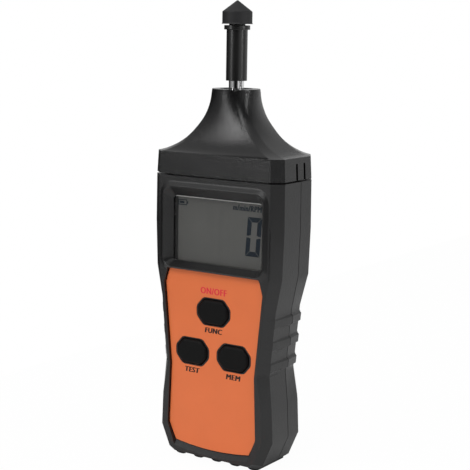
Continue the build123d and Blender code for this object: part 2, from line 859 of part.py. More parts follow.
# Display panel, the frame that holds it against the window, and its contact strips
panel_low = window_low - panel_land_z
panel_high = window_high + panel_land_z
display_z = (panel_low + panel_high) / 2
with BuildPart() as lcd_panel:
    with BuildSketch(Plane.XZ.offset(glass_y)):
        with Locations((0, display_z)):
            Rectangle(2 * panel_half, panel_high - panel_low)
    extrude(amount=-panel_thick)
lcd_panel.part.label = "lcd_panel"
export_step(lcd_panel.part, "parts/lcd_panel.step")

frame_inner = panel_half + frame_gap
with BuildPart() as lcd_frame:
    with BuildSketch(Plane.XZ.offset(panel_y - lens_thick)):
        with Locations((0, display_z)):
            Rectangle(2 * (frame_inner + frame_wall), panel_high - panel_low + 2 * (frame_gap + frame_wall))
            Rectangle(2 * frame_inner, panel_high - panel_low + 2 * frame_gap, mode=Mode.SUBTRACT)
    extrude(amount=-(panel_y - lens_thick - board_y))
lcd_frame.part.label = "lcd_frame"
export_step(lcd_frame.part, "parts/lcd_frame.step")

with BuildPart() as contact_strips:
    with BuildSketch(Plane.XZ.offset(glass_y - panel_thick)):
        with Locations((0, panel_low + strip_high / 2), (0, panel_high - strip_high / 2)):
            Rectangle(2 * (panel_half - strip_margin), strip_high)
    extrude(amount=-strip_thick)
contact_strips.part.label = "contact_strips"
export_step(contact_strips.part, "parts/contact_strips.step")

# Main board, notched round the lower case screws and drilled for its own screws
with BuildPart() as main_board:
    with BuildSketch(Plane.XZ.offset(board_y)) as board_face:
        with Locations((0, (board_low + board_high) / 2)):
            Rectangle(2 * board_half, board_high - board_low)
        chamfer(board_face.vertices(), board_corner)
        with Locations(*case_screw_spots):
            Circle(boss_radius + notch_gap, mode=Mode.SUBTRACT)
        with Locations(*board_screw_spots):
            Circle(board_screw_radius + screw_gap, mode=Mode.SUBTRACT)
    extrude(amount=-board_thick)
main_board.part.label = "main_board"
export_step(main_board.part, "parts/main_board.step")

# Tact switches: housings on the board, each with a well for its plunger
switch_front_y = board_y + switch_high
with BuildPart() as switch_housings:
    with BuildSketch(Plane.XZ.offset(board_y)):
        with Locations(*button_spots.values()):
            Rectangle(switch_size, switch_size)
    extrude(amount=switch_high)
    with BuildSketch(Plane.XZ.offset(switch_front_y)):
        with Locations(*button_spots.values()):
            Circle(plunger_radius + plunger_gap)
    extrude(amount=-(plunger_seat + button_travel + plunger_gap), mode=Mode.SUBTRACT)
switch_housings.part.label = "switch_housings"
export_step(switch_housings.part, "parts/switch_housings.step")

# Push buttons: a cap through the collar, a flange behind the panel and a short stem to the plunger
stem_y = panel_y - flange_thick
for name, spot in button_spots.items():
    with BuildPart() as button:
        with BuildSketch(Plane.XZ.offset(panel_y)):
            with Locations(spot):
                add(cap_face)
        extrude(amount=overlay_y + cap_proud - panel_y)
        fillet(button.faces().sort_by(Axis.Y)[0].edges(), radius=cap_round)
        with BuildSketch(Plane.XZ.offset(panel_y)):
            with Locations(spot):
                add(flange_face)
        extrude(amount=-flange_thick)
    button.part.label = "button_" + name
    export_step(button.part, "parts/button_" + name + ".step")

    with BuildPart() as plunger:
        with BuildSketch(Plane.XZ.offset(stem_y)):
            with Locations(spot):
                Circle(plunger_radius)
        extrude(amount=-(stem_y - switch_front_y + plunger_seat))
    plunger.part.label = "plunger_" + name
    export_step(plunger.part, "parts/plunger_" + name + ".step")

# Parts soldered to the back of the main board
with BuildPart() as microcontroller:
    with BuildSketch(Plane.XZ.offset(board_back_y)):
        with Locations((0, chip_z)):
            Rectangle(chip_size, chip_size)
    extrude(amount=-chip_high)
    chamfer(microcontroller.faces().sort_by(Axis.Y)[-1].edges(), chip_chamfer)
microcontroller.part.label = "microcontroller"
export_step(microcontroller.part, "parts/microcontroller.step")

with BuildPart() as crystal:
    with BuildSketch(Plane.XY.offset(chip_z - crystal_length / 2)):
        with Locations((chip_size, -board_back_y + crystal_radius)):
            Circle(crystal_radius)
    extrude(amount=crystal_length)
    fillet(crystal.edges().filter_by(GeomType.CIRCLE), radius=crystal_round)
crystal.part.label = "crystal"
export_step(crystal.part, "parts/crystal.step")

with BuildPart() as capacitors:
    with BuildSketch(Plane.XZ.offset(board_back_y)):
        with Locations(*[(-chip_size, chip_z + rise) for rise in (-capacitor_pitch / 2, capacitor_pitch / 2)]):
            Circle(capacitor_radius)
    extrude(amount=-capacitor_high)
capacitors.part.label = "capacitors"
export_step(capacitors.part, "parts/capacitors.step")

with BuildPart() as wire_header:
    with BuildSketch(Plane.XZ.offset(board_back_y)):
        with Locations((0, header_z + header_high / 2)):
            Rectangle(header_width, header_high)
    extrude(amount=-header_depth)
wire_header.part.label = "wire_header"
export_step(wire_header.part, "parts/wire_header.step")

# Screws: four long ones for the case, four short ones for the board
case_head_y = -face_y + head_depth
with BuildPart() as case_screws:
    with BuildSketch(Plane.XZ.offset(case_head_y)):
        with Locations(*case_screw_spots):
            Circle(screw_head_radius)
    extrude(amount=-screw_head_high)
    with BuildSketch(Plane.XZ.offset(case_head_y)):
        with Locations(*case_screw_spots):
            Circle(screw_radius)
    extrude(amount=screw_length)
    with BuildSketch(Plane.XZ.offset(case_head_y - screw_head_high)):
        with Locations(*case_screw_spots):
            Rectangle(screw_head_radius, cross_width)
            Rectangle(cross_width, screw_head_radius)
    extrude(amount=cross_depth, mode=Mode.SUBTRACT)
case_screws.part.label = "case_screws"
export_step(case_screws.part, "parts/case_screws.step")

with BuildPart() as board_screws:
    with BuildSketch(Plane.XZ.offset(board_back_y)):
        with Locations(*board_screw_spots):
            Circle(board_screw_head)
    extrude(amount=-board_screw_head_high)
    with BuildSketch(Plane.XZ.offset(board_back_y)):
        with Locations(*board_screw_spots):
            Circle(board_screw_radius)
    extrude(amount=board_screw_length)
board_screws.part.label = "board_screws"
export_step(board_screws.part, "parts/board_screws.step")

# Sensor board across the top of the main board, and the header that joins the two
sensor_board_z = seam_z - wall - sensor_board_thick
with BuildPart() as sensor_board:
    with BuildSketch(Plane.XY.offset(sensor_board_z)):
        Rectangle(2 * (holder_half + sensor_board_margin_x), 2 * (holder_deep + sensor_board_margin_y))
        with Locations(*[
            (x + dx, 0) for x in (-sensor_pitch / 2, sensor_pitch / 2)
            for dx in (-sensor_leg_pitch / 2, sensor_leg_pitch / 2)
        ]):
            Circle(sensor_leg + sensor_gap, mode=Mode.SUBTRACT)
    extrude(amount=sensor_board_thick)
sensor_board.part.label = "sensor_board"
export_step(sensor_board.part, "parts/sensor_board.step")

with BuildPart() as board_link:
    with BuildSketch(Plane.XZ.offset(board_back_y)):
        with Locations((0, sensor_board_z - header_high / 2)):
            Rectangle(link_width, header_high)
    extrude(amount=-header_depth)
board_link.part.label = "board_link"
export_step(board_link.part, "parts/board_link.step")

# Sensor holder under the nose window, with stepped bores for the emitter and the photodiode
holder_low = sensor_board_z + sensor_board_thick
flange_low = holder_low + sensor_seat
with BuildPart() as sensor_holder:
    with BuildSketch(Plane.XY.offset(holder_low)):
        Rectangle(2 * holder_half, 2 * holder_deep)
    extrude(amount=glass_low - holder_low)
    with BuildSketch(Plane.XY.offset(glass_low)):
        with Locations((-sensor_pitch / 2, 0), (sensor_pitch / 2, 0)):
            Circle(sensor_radius + sensor_gap)
    extrude(amount=holder_low - glass_low, mode=Mode.SUBTRACT)
    with BuildSketch(Plane.XY.offset(holder_low)):
        with Locations((-sensor_pitch / 2, 0), (sensor_pitch / 2, 0)):
            Circle(sensor_flange + sensor_gap)
    extrude(amount=sensor_seat + sensor_flange_high, mode=Mode.SUBTRACT)
sensor_holder.part.label = "sensor_holder"
export_step(sensor_holder.part, "parts/sensor_holder.step")

for name, x in (("light_emitter", -sensor_pitch / 2), ("photodiode", sensor_pitch / 2)):
    with BuildPart() as sensor:
        with BuildSketch(Plane.XY.offset(flange_low)):
            with Locations((x, 0)):
                Circle(sensor_flange)
        extrude(amount=sensor_flange_high)
        with BuildSketch(Plane.XY.offset(flange_low)):
            with Locations((x, 0)):
                Circle(sensor_radius)
        extrude(amount=glass_low - flange_low - nose_glass)
        fillet(sensor.faces().sort_by(Axis.Z)[-1].edges(), radius=sensor_dome)
        with BuildSketch(Plane.XY.offset(flange_low)):
            with Locations((x - sensor_leg_pitch / 2, 0), (x + sensor_leg_pitch / 2, 0)):
                Circle(sensor_leg)
        extrude(amount=-(sensor_seat + sensor_board_thick))
    sensor.part.label = name
    export_step(sensor.part, "parts/" + name + ".step")

with BuildPart() as nose_window:
    with BuildSketch(Plane.XY.offset(glass_low)):
        Rectangle(
            2 * (nose_slot_half + glass_land - overlay_gap), 2 * (nose_slot_deep + glass_land - overlay_gap))
    extrude(amount=nose_glass)
nose_window.part.label = "nose_window"
export_step(nose_window.part, "parts/nose_window.step")

# Battery with its two terminals, standing in the bay
with BuildPart() as battery:
    with BuildSketch(Plane.XY.offset(battery_low)):
        with Locations((0, battery_y)):
            RectangleRounded(battery_width, battery_depth, battery_corner)
    extrude(amount=battery_body)
    with BuildSketch(Plane.XY.offset(battery_top)):
        with Locations((-terminal_pitch / 2, battery_y)):
            Circle(terminal_radius)
        with Locations((terminal_pitch / 2, battery_y)):
            RegularPolygon(terminal_radius, 6)
    extrude(amount=terminal_high)
battery.part.label = "battery"
export_step(battery.part, "parts/battery.step")

with BuildPart() as battery_clip:
    with BuildSketch(Plane.XY.offset(clip_z)):
        with Locations((0, battery_y)):
            SlotOverall(battery_width, clip_depth)
    extrude(amount=clip_thick)
battery_clip.part.label = "battery_clip"
export_step(battery_clip.part, "parts/battery_clip.step")

lead_top_y = -board_back_y + header_depth / 2
lead_length = header_z - lead_low_z
with BuildPart() as battery_leads:
    for lead_side in (-1, 1):
        with BuildLine() as lead_path:
            FilletPolyline(
                (lead_side * header_width / 2, battery_y, lead_low_z),
                (lead_side * header_width / 2, battery_y, lead_low_z + lead_length / 3),
                (lead_side * header_width / 4, lead_top_y, header_z - lead_length / 3),
                (lead_side * header_width / 4, lead_top_y, header_z),
                radius=lead_bend,
            )
        with BuildSketch(Plane.XY.offset(lead_low_z)):
            with Locations((lead_side * header_width / 2, battery_y)):
                Circle(lead_radius)
        sweep(path=lead_path.line)
battery_leads.part.label = "battery_leads"
export_step(battery_leads.part, "parts/battery_leads.step")

# Battery door: flush with the back panel, tongues in the cover's grooves, finger grooves near its top
with BuildPart() as battery_door:
    add(back_form)
    with BuildSketch(Plane.XZ.offset(-door_inner_y)):
        with Locations((0, door_high / 2)):
            Rectangle(2 * door_half, door_high)
    extrude(amount=-2 * door_thick, mode=Mode.INTERSECT)
    with BuildSketch(Plane.XZ.offset(-door_inner_y)):
        with Locations((0, (heel_z + door_high) / 2)):
            Rectangle(2 * (door_half + door_tongue), door_high - heel_z)
    extrude(amount=-door_tongue_thick)
    with BuildSketch(Plane.XZ.offset(-face_y)):
        with GridLocations(0, grip_pitch, 1, grip_count):
            with Locations((0, door_high - grip_pitch * grip_count)):
                SlotOverall(2 * grip_half, grip_width)
    extrude(amount=grip_depth, mode=Mode.SUBTRACT)
battery_door.part.label = "battery_door"
export_step(battery_door.part, "parts/battery_door.step")

# Adapter shell: skirt with snap slots, flare that turns from the skirt's section to the round neck
with BuildPart() as adapter_shell:
    for level, _, _ in reversed(flare_levels):
        with BuildSketch(Plane.XY.offset(neck_z - level * flare_high)):
            collar_outline(*collar_points(neck_z - level * flare_high))
    loft()
    with BuildSketch(Plane.XY.offset(skirt_low)):
        skirt_outline(1.0)
    with BuildSketch(Plane.XY.offset(skirt_top)):
        skirt_outline(skirt_taper)
    loft(ruled=True)

    # Pocket for the spigot, the hollow of the flare above it and two stop ribs that sit on the spigot
    with BuildSketch(Plane.XY.offset(skirt_low)):
        skirt_outline(1.0, skirt_wall)
    extrude(amount=spigot_top - skirt_low, mode=Mode.SUBTRACT)
    with BuildSketch(Plane.XY.offset(spigot_top)):
        collar_outline(*collar_points(skirt_top, skirt_wall))
    extrude(amount=skirt_top - spigot_top, mode=Mode.SUBTRACT)
    for level in reversed(hollow_levels):
        with BuildSketch(Plane.XY.offset(neck_z - level * flare_high)):
            collar_outline(*collar_points(neck_z - level * flare_high, skirt_wall))
    loft(mode=Mode.SUBTRACT)
    with BuildSketch(Plane.XY.offset(spigot_top)):
        with Locations((-stop_x, 0), (stop_x, 0)):
            Rectangle(stop_thick, 2 * (skirt_deep - skirt_wall))
    extrude(until=Until.NEXT)

    # Bearing seats from below and from above, with a shoulder between them
    with BuildSketch(Plane.XY.offset(chamber_z - skirt_wall)):
        Circle(bearing_radius + bearing_fit)
    extrude(amount=lower_bearing_z + bearing_width - chamber_z + skirt_wall, mode=Mode.SUBTRACT)
    with BuildSketch(Plane.XY.offset(upper_bearing_z)):
        Circle(bearing_radius + bearing_fit)
    extrude(amount=neck_z - upper_bearing_z, mode=Mode.SUBTRACT)
    with BuildSketch(Plane.XY.offset(lower_bearing_z)):
        Circle(shoulder_radius)
    extrude(amount=neck_z - lower_bearing_z, mode=Mode.SUBTRACT)

    # Two open slots in each side leave a snap tongue between them
    with BuildSketch(Plane.XY.offset(skirt_low)):
        for slot_y in (slot_front_y, slot_back_y):
            with Locations((-skirt_half, slot_y), (skirt_half, slot_y)):
                Rectangle(2 * slot_deep, slot_width)
    extrude(amount=slot_high, mode=Mode.SUBTRACT)
adapter_shell.part.label = "adapter_shell"
export_step(adapter_shell.part, "parts/adapter_shell.step")


def ball_ring(z):
    """Places of the balls of one bearing whose lower face is at a height."""
    turn = 2 * math.pi / ball_count
    return [
        (pitch_radius * math.cos(turn * index), pitch_radius * math.sin(turn * index), z + bearing_width / 2)
        for index in range(ball_count)
    ]


# Two ball bearings: outer ring, inner ring and balls in a round groove
for name, low in (("lower", lower_bearing_z), ("upper", upper_bearing_z)):
    for ring_name, near, far in (
        ("outer", bearing_radius - race_thick, bearing_radius),
        ("inner", shaft_radius + shaft_fit, shaft_radius + race_thick),
    ):
        with BuildPart() as ring:
            with BuildSketch(Plane.XZ):
                with Locations(((near + far) / 2, low + bearing_width / 2)):
                    Rectangle(far - near, bearing_width)
                with Locations((pitch_radius, low + bearing_width / 2)):
                    Circle(ball_radius + groove_gap, mode=Mode.SUBTRACT)
            revolve(axis=Axis.Z)
        ring.part.label = name + "_bearing_" + ring_name + "_ring"
        export_step(ring.part, "parts/" + ring.part.label + ".step")
    with BuildPart() as balls:
        with Locations(*ball_ring(low)):
            Sphere(ball_radius)
    balls.part.label = name + "_bearing_balls"
    export_step(balls.part, "parts/" + balls.part.label + ".step")

with BuildPart() as retaining_ring:
    with BuildSketch(Plane.XY.offset(upper_bearing_z + bearing_width)):
        Circle(bearing_radius)
        Circle(shoulder_radius, mode=Mode.SUBTRACT)
    extrude(amount=ring_thick)
retaining_ring.part.label = "retaining_ring"
export_step(retaining_ring.part, "parts/retaining_ring.step")

# Spindle: shaft, spacer, reflector disc with its mark
with BuildPart() as drive_shaft:
    with BuildSketch(Plane.XY.offset(disc_z + disc_thick)):
        Circle(shaft_radius)
    extrude(amount=sleeve_high - shaft_cover - disc_z - disc_thick)
drive_shaft.part.label = "drive_shaft"
export_step(drive_shaft.part, "parts/drive_shaft.step")

with BuildPart() as bearing_spacer:
    with BuildSketch(Plane.XY.offset(lower_bearing_z + bearing_width)):
        Circle(spacer_radius)
        Circle(shaft_radius + shaft_fit, mode=Mode.SUBTRACT)
    extrude(amount=bearing_spread - bearing_width)
bearing_spacer.part.label = "bearing_spacer"
export_step(bearing_spacer.part, "parts/bearing_spacer.step")

with BuildPart() as reflector_disc:
    with BuildSketch(Plane.XY.offset(disc_z)):
        Circle(disc_radius)
    extrude(amount=disc_thick)
    with BuildSketch(Plane.XY.offset(disc_z + disc_thick)):
        Circle(spacer_radius)
        Circle(shaft_radius + shaft_fit, mode=Mode.SUBTRACT)
    extrude(amount=lower_bearing_z - disc_z - disc_thick)
reflector_disc.part.label = "reflector_disc"
export_step(reflector_disc.part, "parts/reflector_disc.step")

with BuildPart() as reflective_mark:
    with BuildSketch(Plane.XZ):
        with Locations(((mark_inner + mark_outer) / 2, disc_z - mark_thick / 2)):
            Rectangle(mark_outer - mark_inner, mark_thick)
    revolve(axis=Axis.Z, revolution_arc=mark_angle)
reflective_mark.part.label = "reflective_mark"
export_step(reflective_mark.part, "parts/reflective_mark.step")

# Tip holder: sleeve, collar and the neck that the rubber tip is pushed on
collar_top = sleeve_high + collar_high
tip_low = collar_top + tip_gap
with BuildPart() as tip_holder:
    with BuildSketch(Plane.XY.offset(sleeve_low)):
        Circle(sleeve_radius)
        Circle(shaft_radius + shaft_fit, mode=Mode.SUBTRACT)
    extrude(amount=sleeve_high - shaft_cover - sleeve_low)
    with BuildSketch(Plane.XY.offset(sleeve_high - shaft_cover)):
        Circle(sleeve_radius)
    extrude(amount=shaft_cover)
    with BuildSketch(Plane.XY.offset(sleeve_high)):
        Circle(sleeve_radius + collar_step)
    extrude(amount=collar_high)
    with BuildSketch(Plane.XY.offset(collar_top)):
        Circle(tip_neck_radius)
    extrude(amount=tip_gap + tip_seat)
tip_holder.part.label = "tip_holder"
export_step(tip_holder.part, "parts/tip_holder.step")

# Rubber contact tip: straight skirt with a thin lip, and a cone
with BuildPart() as contact_tip:
    with BuildSketch(Plane.XZ):
        with BuildLine():
            Polyline(
                (tip_neck_radius + shaft_fit, tip_low), (tip_radius + tip_lip, tip_low),
                (tip_radius, tip_low + tip_lip_high), (tip_radius, tip_low + tip_straight),
                (0, tip_low + tip_straight + tip_cone), (0, tip_low + tip_seat),
                (tip_neck_radius + shaft_fit, tip_low + tip_seat), close=True,
            )
        make_face()
    revolve(axis=Axis.Z)
contact_tip.part.label = "contact_tip"
export_step(contact_tip.part, "parts/contact_tip.step")
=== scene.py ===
"""Looks of a handheld digital tachometer and its pull-off contact adapter.

Lengths are metres in the part's own frame: X across, Y from the face to the back, Z up the spindle.
"""

import json
import logging
import math
from contextlib import contextmanager
from dataclasses import dataclass
from enum import Enum
from typing import Any, Iterable, Iterator, Sequence

import bmesh
import bpy
from mathutils import Matrix, Vector


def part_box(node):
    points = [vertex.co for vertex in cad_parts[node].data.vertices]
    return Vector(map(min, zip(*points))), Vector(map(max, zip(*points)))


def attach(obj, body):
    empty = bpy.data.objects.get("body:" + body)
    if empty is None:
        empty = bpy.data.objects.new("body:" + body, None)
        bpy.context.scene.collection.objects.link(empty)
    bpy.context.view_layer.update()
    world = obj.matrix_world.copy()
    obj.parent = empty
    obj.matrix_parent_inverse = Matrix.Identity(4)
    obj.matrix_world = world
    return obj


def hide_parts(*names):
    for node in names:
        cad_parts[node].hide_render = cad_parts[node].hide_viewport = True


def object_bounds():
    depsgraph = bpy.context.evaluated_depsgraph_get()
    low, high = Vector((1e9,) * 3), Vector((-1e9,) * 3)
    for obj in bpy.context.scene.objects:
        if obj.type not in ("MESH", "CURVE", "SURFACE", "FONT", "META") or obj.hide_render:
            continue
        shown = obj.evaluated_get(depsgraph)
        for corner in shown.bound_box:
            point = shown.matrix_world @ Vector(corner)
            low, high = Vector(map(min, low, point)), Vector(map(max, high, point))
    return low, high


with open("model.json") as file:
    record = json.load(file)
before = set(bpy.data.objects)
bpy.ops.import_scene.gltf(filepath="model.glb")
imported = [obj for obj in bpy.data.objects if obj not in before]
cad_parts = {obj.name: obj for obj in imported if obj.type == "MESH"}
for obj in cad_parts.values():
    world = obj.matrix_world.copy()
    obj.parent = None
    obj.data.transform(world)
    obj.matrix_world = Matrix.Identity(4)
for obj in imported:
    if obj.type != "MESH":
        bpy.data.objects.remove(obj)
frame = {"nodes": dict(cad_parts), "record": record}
cad_low, cad_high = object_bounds()

MM = 0.001
NOISE_MEAN = 0.5
WHITE = (1.0, 1.0, 1.0, 1.0)
Triple = tuple[float, float, float]
Colour = Triple
Pair = tuple[float, float]

log = logging.getLogger("tachometer")


class Value:
    """A number in a node tree that adds Math nodes as expressions use it."""

    def __init__(self, graph: "Graph", source: Any) -> None:
        """Wrap a socket or a plain number of one graph."""
        self.graph = graph
        self.source = source

    def math(self, operation: str, *terms: Any) -> "Value":
        """Apply one Math operation to this value and the other terms.

        Args:
            operation: the Math node's operation.
            terms: the other inputs, in the node's own order.

        Returns:
            The result as a new value.
        """
        values = dict(enumerate((self, *terms)))
        node = self.graph.node("ShaderNodeMath", {"operation": operation}, values)
        return Value(self.graph, node.outputs[0])

    def __add__(self, other: Any) -> "Value":
        """Sum."""
        return self.math("ADD", other)

    __radd__ = __add__

    def __sub__(self, other: Any) -> "Value":
        """Difference."""
        return self.math("SUBTRACT", other)

    def __rsub__(self, other: Any) -> "Value":
        """Difference from a number."""
        return Value(self.graph, other).math("SUBTRACT", self)

    def __mul__(self, other: Any) -> "Value":
        """Product."""
        return self.math("MULTIPLY", other)

    __rmul__ = __mul__

    def __truediv__(self, other: Any) -> "Value":
        """Quotient."""
        return self.math("DIVIDE", other)

    def __rtruediv__(self, other: Any) -> "Value":
        """Quotient of a number and this value."""
        return Value(self.graph, other).math("DIVIDE", self)

    def smooth(self, low: float, high: float) -> "Value":
        """Rise smoothly from 0 to 1.

        Args:
            low: where the rise starts.
            high: where it reaches 1.

        Returns:
            The result as a new value.
        """
        node = self.graph.node(
            "ShaderNodeMapRange", {"interpolation_type": "SMOOTHSTEP"},
            {"Value": self, "From Min": low, "From Max": high})
        return Value(self.graph, node.outputs[0])


class Graph:
    """Adds nodes to one material, world or geometry tree."""

    def __init__(self, tree: bpy.types.NodeTree) -> None:
        """Start on an emptied tree."""
        tree.nodes.clear()
        self.tree = tree

    def node(
        self, kind: str, settings: dict[str, Any] | None = None,
        values: dict[str | int, Any] | None = None,
    ) -> bpy.types.Node:
        """Add a node, set it up and fill or link its inputs.

        Args:
            kind: the node's type.
            settings: properties of the node.
            values: numbers, sockets or Values by input name or index.

        Returns:
            The new node.
        """
        node = self.tree.nodes.new(kind)
        for name, setting in (settings or {}).items():
            setattr(node, name, setting)
        for key, value in (values or {}).items():
            source = value.source if isinstance(value, Value) else value
            if isinstance(source, bpy.types.NodeSocket):
                self.tree.links.new(source, node.inputs[key])
            else:
                node.inputs[key].default_value = source
        return node

    def camera_ray(self) -> Value:
        """1 where the camera itself looks, 0 for reflected and scattered light."""
        return Value(self, self.node("ShaderNodeLightPath").outputs["Is Camera Ray"])


class Finish:
    """Common ground of the finishes: object coordinates, noise, tone and the surface itself."""

    colour: Colour

    def material(self, name: str) -> bpy.types.Material:
        """Build this finish.

        Args:
            name: the material's name.

        Returns:
            The material.
        """
        material = bpy.data.materials.new(name)
        material.use_nodes = True
        graph = Graph(material.node_tree)
        surface = self.surface(graph)
        graph.node("ShaderNodeOutputMaterial", None, {"Surface": surface.outputs[0]})
        return material

    def surface(self, graph: Graph) -> bpy.types.Node:
        """Build the shader; each finish has its own."""
        raise NotImplementedError

    @staticmethod
    def principled(graph: Graph, values: dict[str, Any]) -> bpy.types.Node:
        """The main shader with its inputs."""
        return graph.node("ShaderNodeBsdfPrincipled", None, values)

    @staticmethod
    def place(graph: Graph, stretch: Triple = (1.0, 1.0, 1.0)) -> bpy.types.NodeSocket:
        """Object coordinates, stretched along the axes."""
        coordinates = graph.node("ShaderNodeTexCoord").outputs["Object"]
        return graph.node("ShaderNodeMapping", None, {"Vector": coordinates, "Scale": stretch}).outputs[0]

    @staticmethod
    def noise(graph: Graph, place: bpy.types.NodeSocket, size: float, detail: float = 2.0) -> Value:
        """Noise whose grains are about a given size in metres."""
        values = {"Vector": place, "Scale": 1 / size, "Detail": detail}
        return Value(graph, graph.node("ShaderNodeTexNoise", None, values).outputs[0])

    @staticmethod
    def mix(graph: Graph, factor: Value, dark: Colour, light: Colour) -> bpy.types.NodeSocket:
        """Mix from a dark to a light colour."""
        values = {0: factor, 6: (*dark, 1.0), 7: (*light, 1.0)}
        return graph.node("ShaderNodeMix", {"data_type": "RGBA"}, values).outputs[2]

    def tint(self, graph: Graph, factor: Value, tone: Pair) -> bpy.types.NodeSocket:
        """The finish's own colour, scaled from the first to the second number of a tone."""
        dark, light = (tuple(min(channel * scale, 1.0) for channel in self.colour) for scale in tone)
        return self.mix(graph, factor, dark, light)

    @staticmethod
    def bump(graph: Graph, height: Value, depth: float) -> bpy.types.NodeSocket:
        """Normal that follows a height map, whose full height is a depth in metres."""
        return graph.node("ShaderNodeBump", None, {"Height": height, "Distance": depth}).outputs[0]


@dataclass(frozen=True)
class MouldedPlastic(Finish):
    """Spark-textured moulded plastic: fine grain, faint clouding of tone and gloss."""

    colour: Colour
    roughness: float
    depth: float = 0.08 * MM
    grain: float = 0.6 * MM
    grain_share: float = 0.35
    cloud: float = 9 * MM
    clouding: float = 0.12
    specular: float = 0.5

    def surface(self, graph: Graph) -> bpy.types.Node:
        """Fine grain as bump, two sizes of noise in tone and roughness.

        Args:
            graph: the material's tree.

        Returns:
            The shader.
        """
        place = self.place(graph)
        fine = self.noise(graph, place, self.grain)
        broad = self.noise(graph, place, self.cloud)
        mixed = fine * self.grain_share + broad * (1 - self.grain_share)
        return self.principled(graph, {
            "Base Color": self.tint(graph, mixed, (1 - self.clouding, 1 + self.clouding)),
            "Roughness": (mixed - NOISE_MEAN) * self.clouding + self.roughness,
            "Specular IOR Level": self.specular,
            "Normal": self.bump(graph, fine, self.depth),
        })


@dataclass(frozen=True)
class PrintedFilm(Finish):
    """Coloured film printed on its back: even colour under a very fine satin face."""

    colour: Colour
    roughness: float = 0.38
    roughness_swing: float = 0.1
    tone: Pair = (0.94, 1.05)
    cloud: float = 14 * MM
    grain: float = 0.3 * MM
    depth: float = 0.004 * MM
    specular: float = 0.35

    def surface(self, graph: Graph) -> bpy.types.Node:
        """Slight clouding of the colour, and a satin grain.

        Args:
            graph: the material's tree.

        Returns:
            The shader.
        """
        place = self.place(graph)
        broad = self.noise(graph, place, self.cloud, detail=3.0)
        fine = self.noise(graph, place, self.grain)
        return self.principled(graph, {
            "Base Color": self.tint(graph, broad, self.tone),
            "Roughness": (fine - NOISE_MEAN) * self.roughness_swing + self.roughness,
            "Specular IOR Level": self.specular,
            "Normal": self.bump(graph, fine, self.depth),
        })


@dataclass(frozen=True)
class PrintedInk(Finish):
    """Screen-printed ink: dense, a little uneven, dull."""

    colour: Colour
    specular: float = 0.25
    roughness: float = 0.5
    roughness_swing: float = 0.1
    tone: Pair = (0.85, 1.1)
    grain: float = 0.4 * MM

    def surface(self, graph: Graph) -> bpy.types.Node:
        """Ink with faint mottling.

        Args:
            graph: the material's tree.

        Returns:
            The shader.
        """
        mottle = self.noise(graph, self.place(graph), self.grain)
        return self.principled(graph, {
            "Base Color": self.tint(graph, mottle, self.tone),
            "Roughness": mottle * self.roughness_swing + self.roughness,
            "Specular IOR Level": self.specular,
        })


@dataclass(frozen=True)
class TurnedMetal(Finish):
    """Turned or ground metal: fine rings round the Z axis and a faint haze."""

    colour: Colour
    roughness: float
    tone: Pair = (0.92, 1.04)
    haze: float = 3 * MM
    haze_swing: float = 0.06
    ring: float = 0.25 * MM
    ring_swing: float = 0.05
    ring_stretch: Triple = (0.02, 0.02, 1.0)
    depth: float = 0.0015 * MM

    def surface(self, graph: Graph) -> bpy.types.Node:
        """Rings as noise that is squeezed along Z.

        Args:
            graph: the material's tree.

        Returns:
            The shader.
        """
        rings = self.noise(graph, self.place(graph, self.ring_stretch), self.ring, detail=3.0)
        haze = self.noise(graph, self.place(graph), self.haze)
        swing = haze * self.haze_swing + rings * self.ring_swing
        return self.principled(graph, {
            "Base Color": self.tint(graph, haze, self.tone),
            "Metallic": 1.0,
            "Roughness": swing + (self.roughness - self.ring_swing),
            "Normal": self.bump(graph, rings, self.depth),
        })


@dataclass(frozen=True)
class SoftRubber(Finish):
    """Moulded rubber: dull, with a bloom that lightens it in patches."""

    colour: Colour
    roughness: float = 0.6
    bloom: float = 0.3
    specular: float = 0.4
    roughness_swing: float = 0.12
    grain: float = 0.35 * MM
    depth: float = 0.008 * MM
    patch: float = 4 * MM

    def surface(self, graph: Graph) -> bpy.types.Node:
        """Fine grain and patches of bloom.

        Args:
            graph: the material's tree.

        Returns:
            The shader.
        """
        place = self.place(graph)
        fine = self.noise(graph, place, self.grain)
        patches = self.noise(graph, place, self.patch, detail=4.0)
        return self.principled(graph, {
            "Base Color": self.tint(graph, patches, (1 - self.bloom, 1 + self.bloom)),
            "Roughness": (patches - NOISE_MEAN) * self.roughness_swing + self.roughness,
            "Specular IOR Level": self.specular,
            "Normal": self.bump(graph, fine, self.depth),
        })


@dataclass(frozen=True)
class ClearPlastic(Finish):
    """Clear moulded window: see-through, with a gloss outside that grows towards the edges of view."""

    colour: Colour = (1.0, 1.0, 1.0)
    index: float = 1.49
    roughness: float = 0.03

    def surface(self, graph: Graph) -> bpy.types.Node:
        """Straight-through light mixed with gloss by the Fresnel law.

        Args:
            graph: the material's tree.

        Returns:
            The shader.
        """
        gloss = graph.node("ShaderNodeBsdfGlossy", None, {"Color": WHITE, "Roughness": self.roughness})
        through = graph.node("ShaderNodeBsdfTransparent", None, {"Color": (*self.colour, 1.0)})
        fresnel = Value(graph, graph.node("ShaderNodeFresnel", None, {"IOR": self.index}).outputs[0])
        inner = Value(graph, graph.node("ShaderNodeNewGeometry").outputs["Backfacing"])
        return graph.node("ShaderNodeMixShader", None, {
            0: fresnel * (1 - inner), 1: through.outputs[0], 2: gloss.outputs[0]})


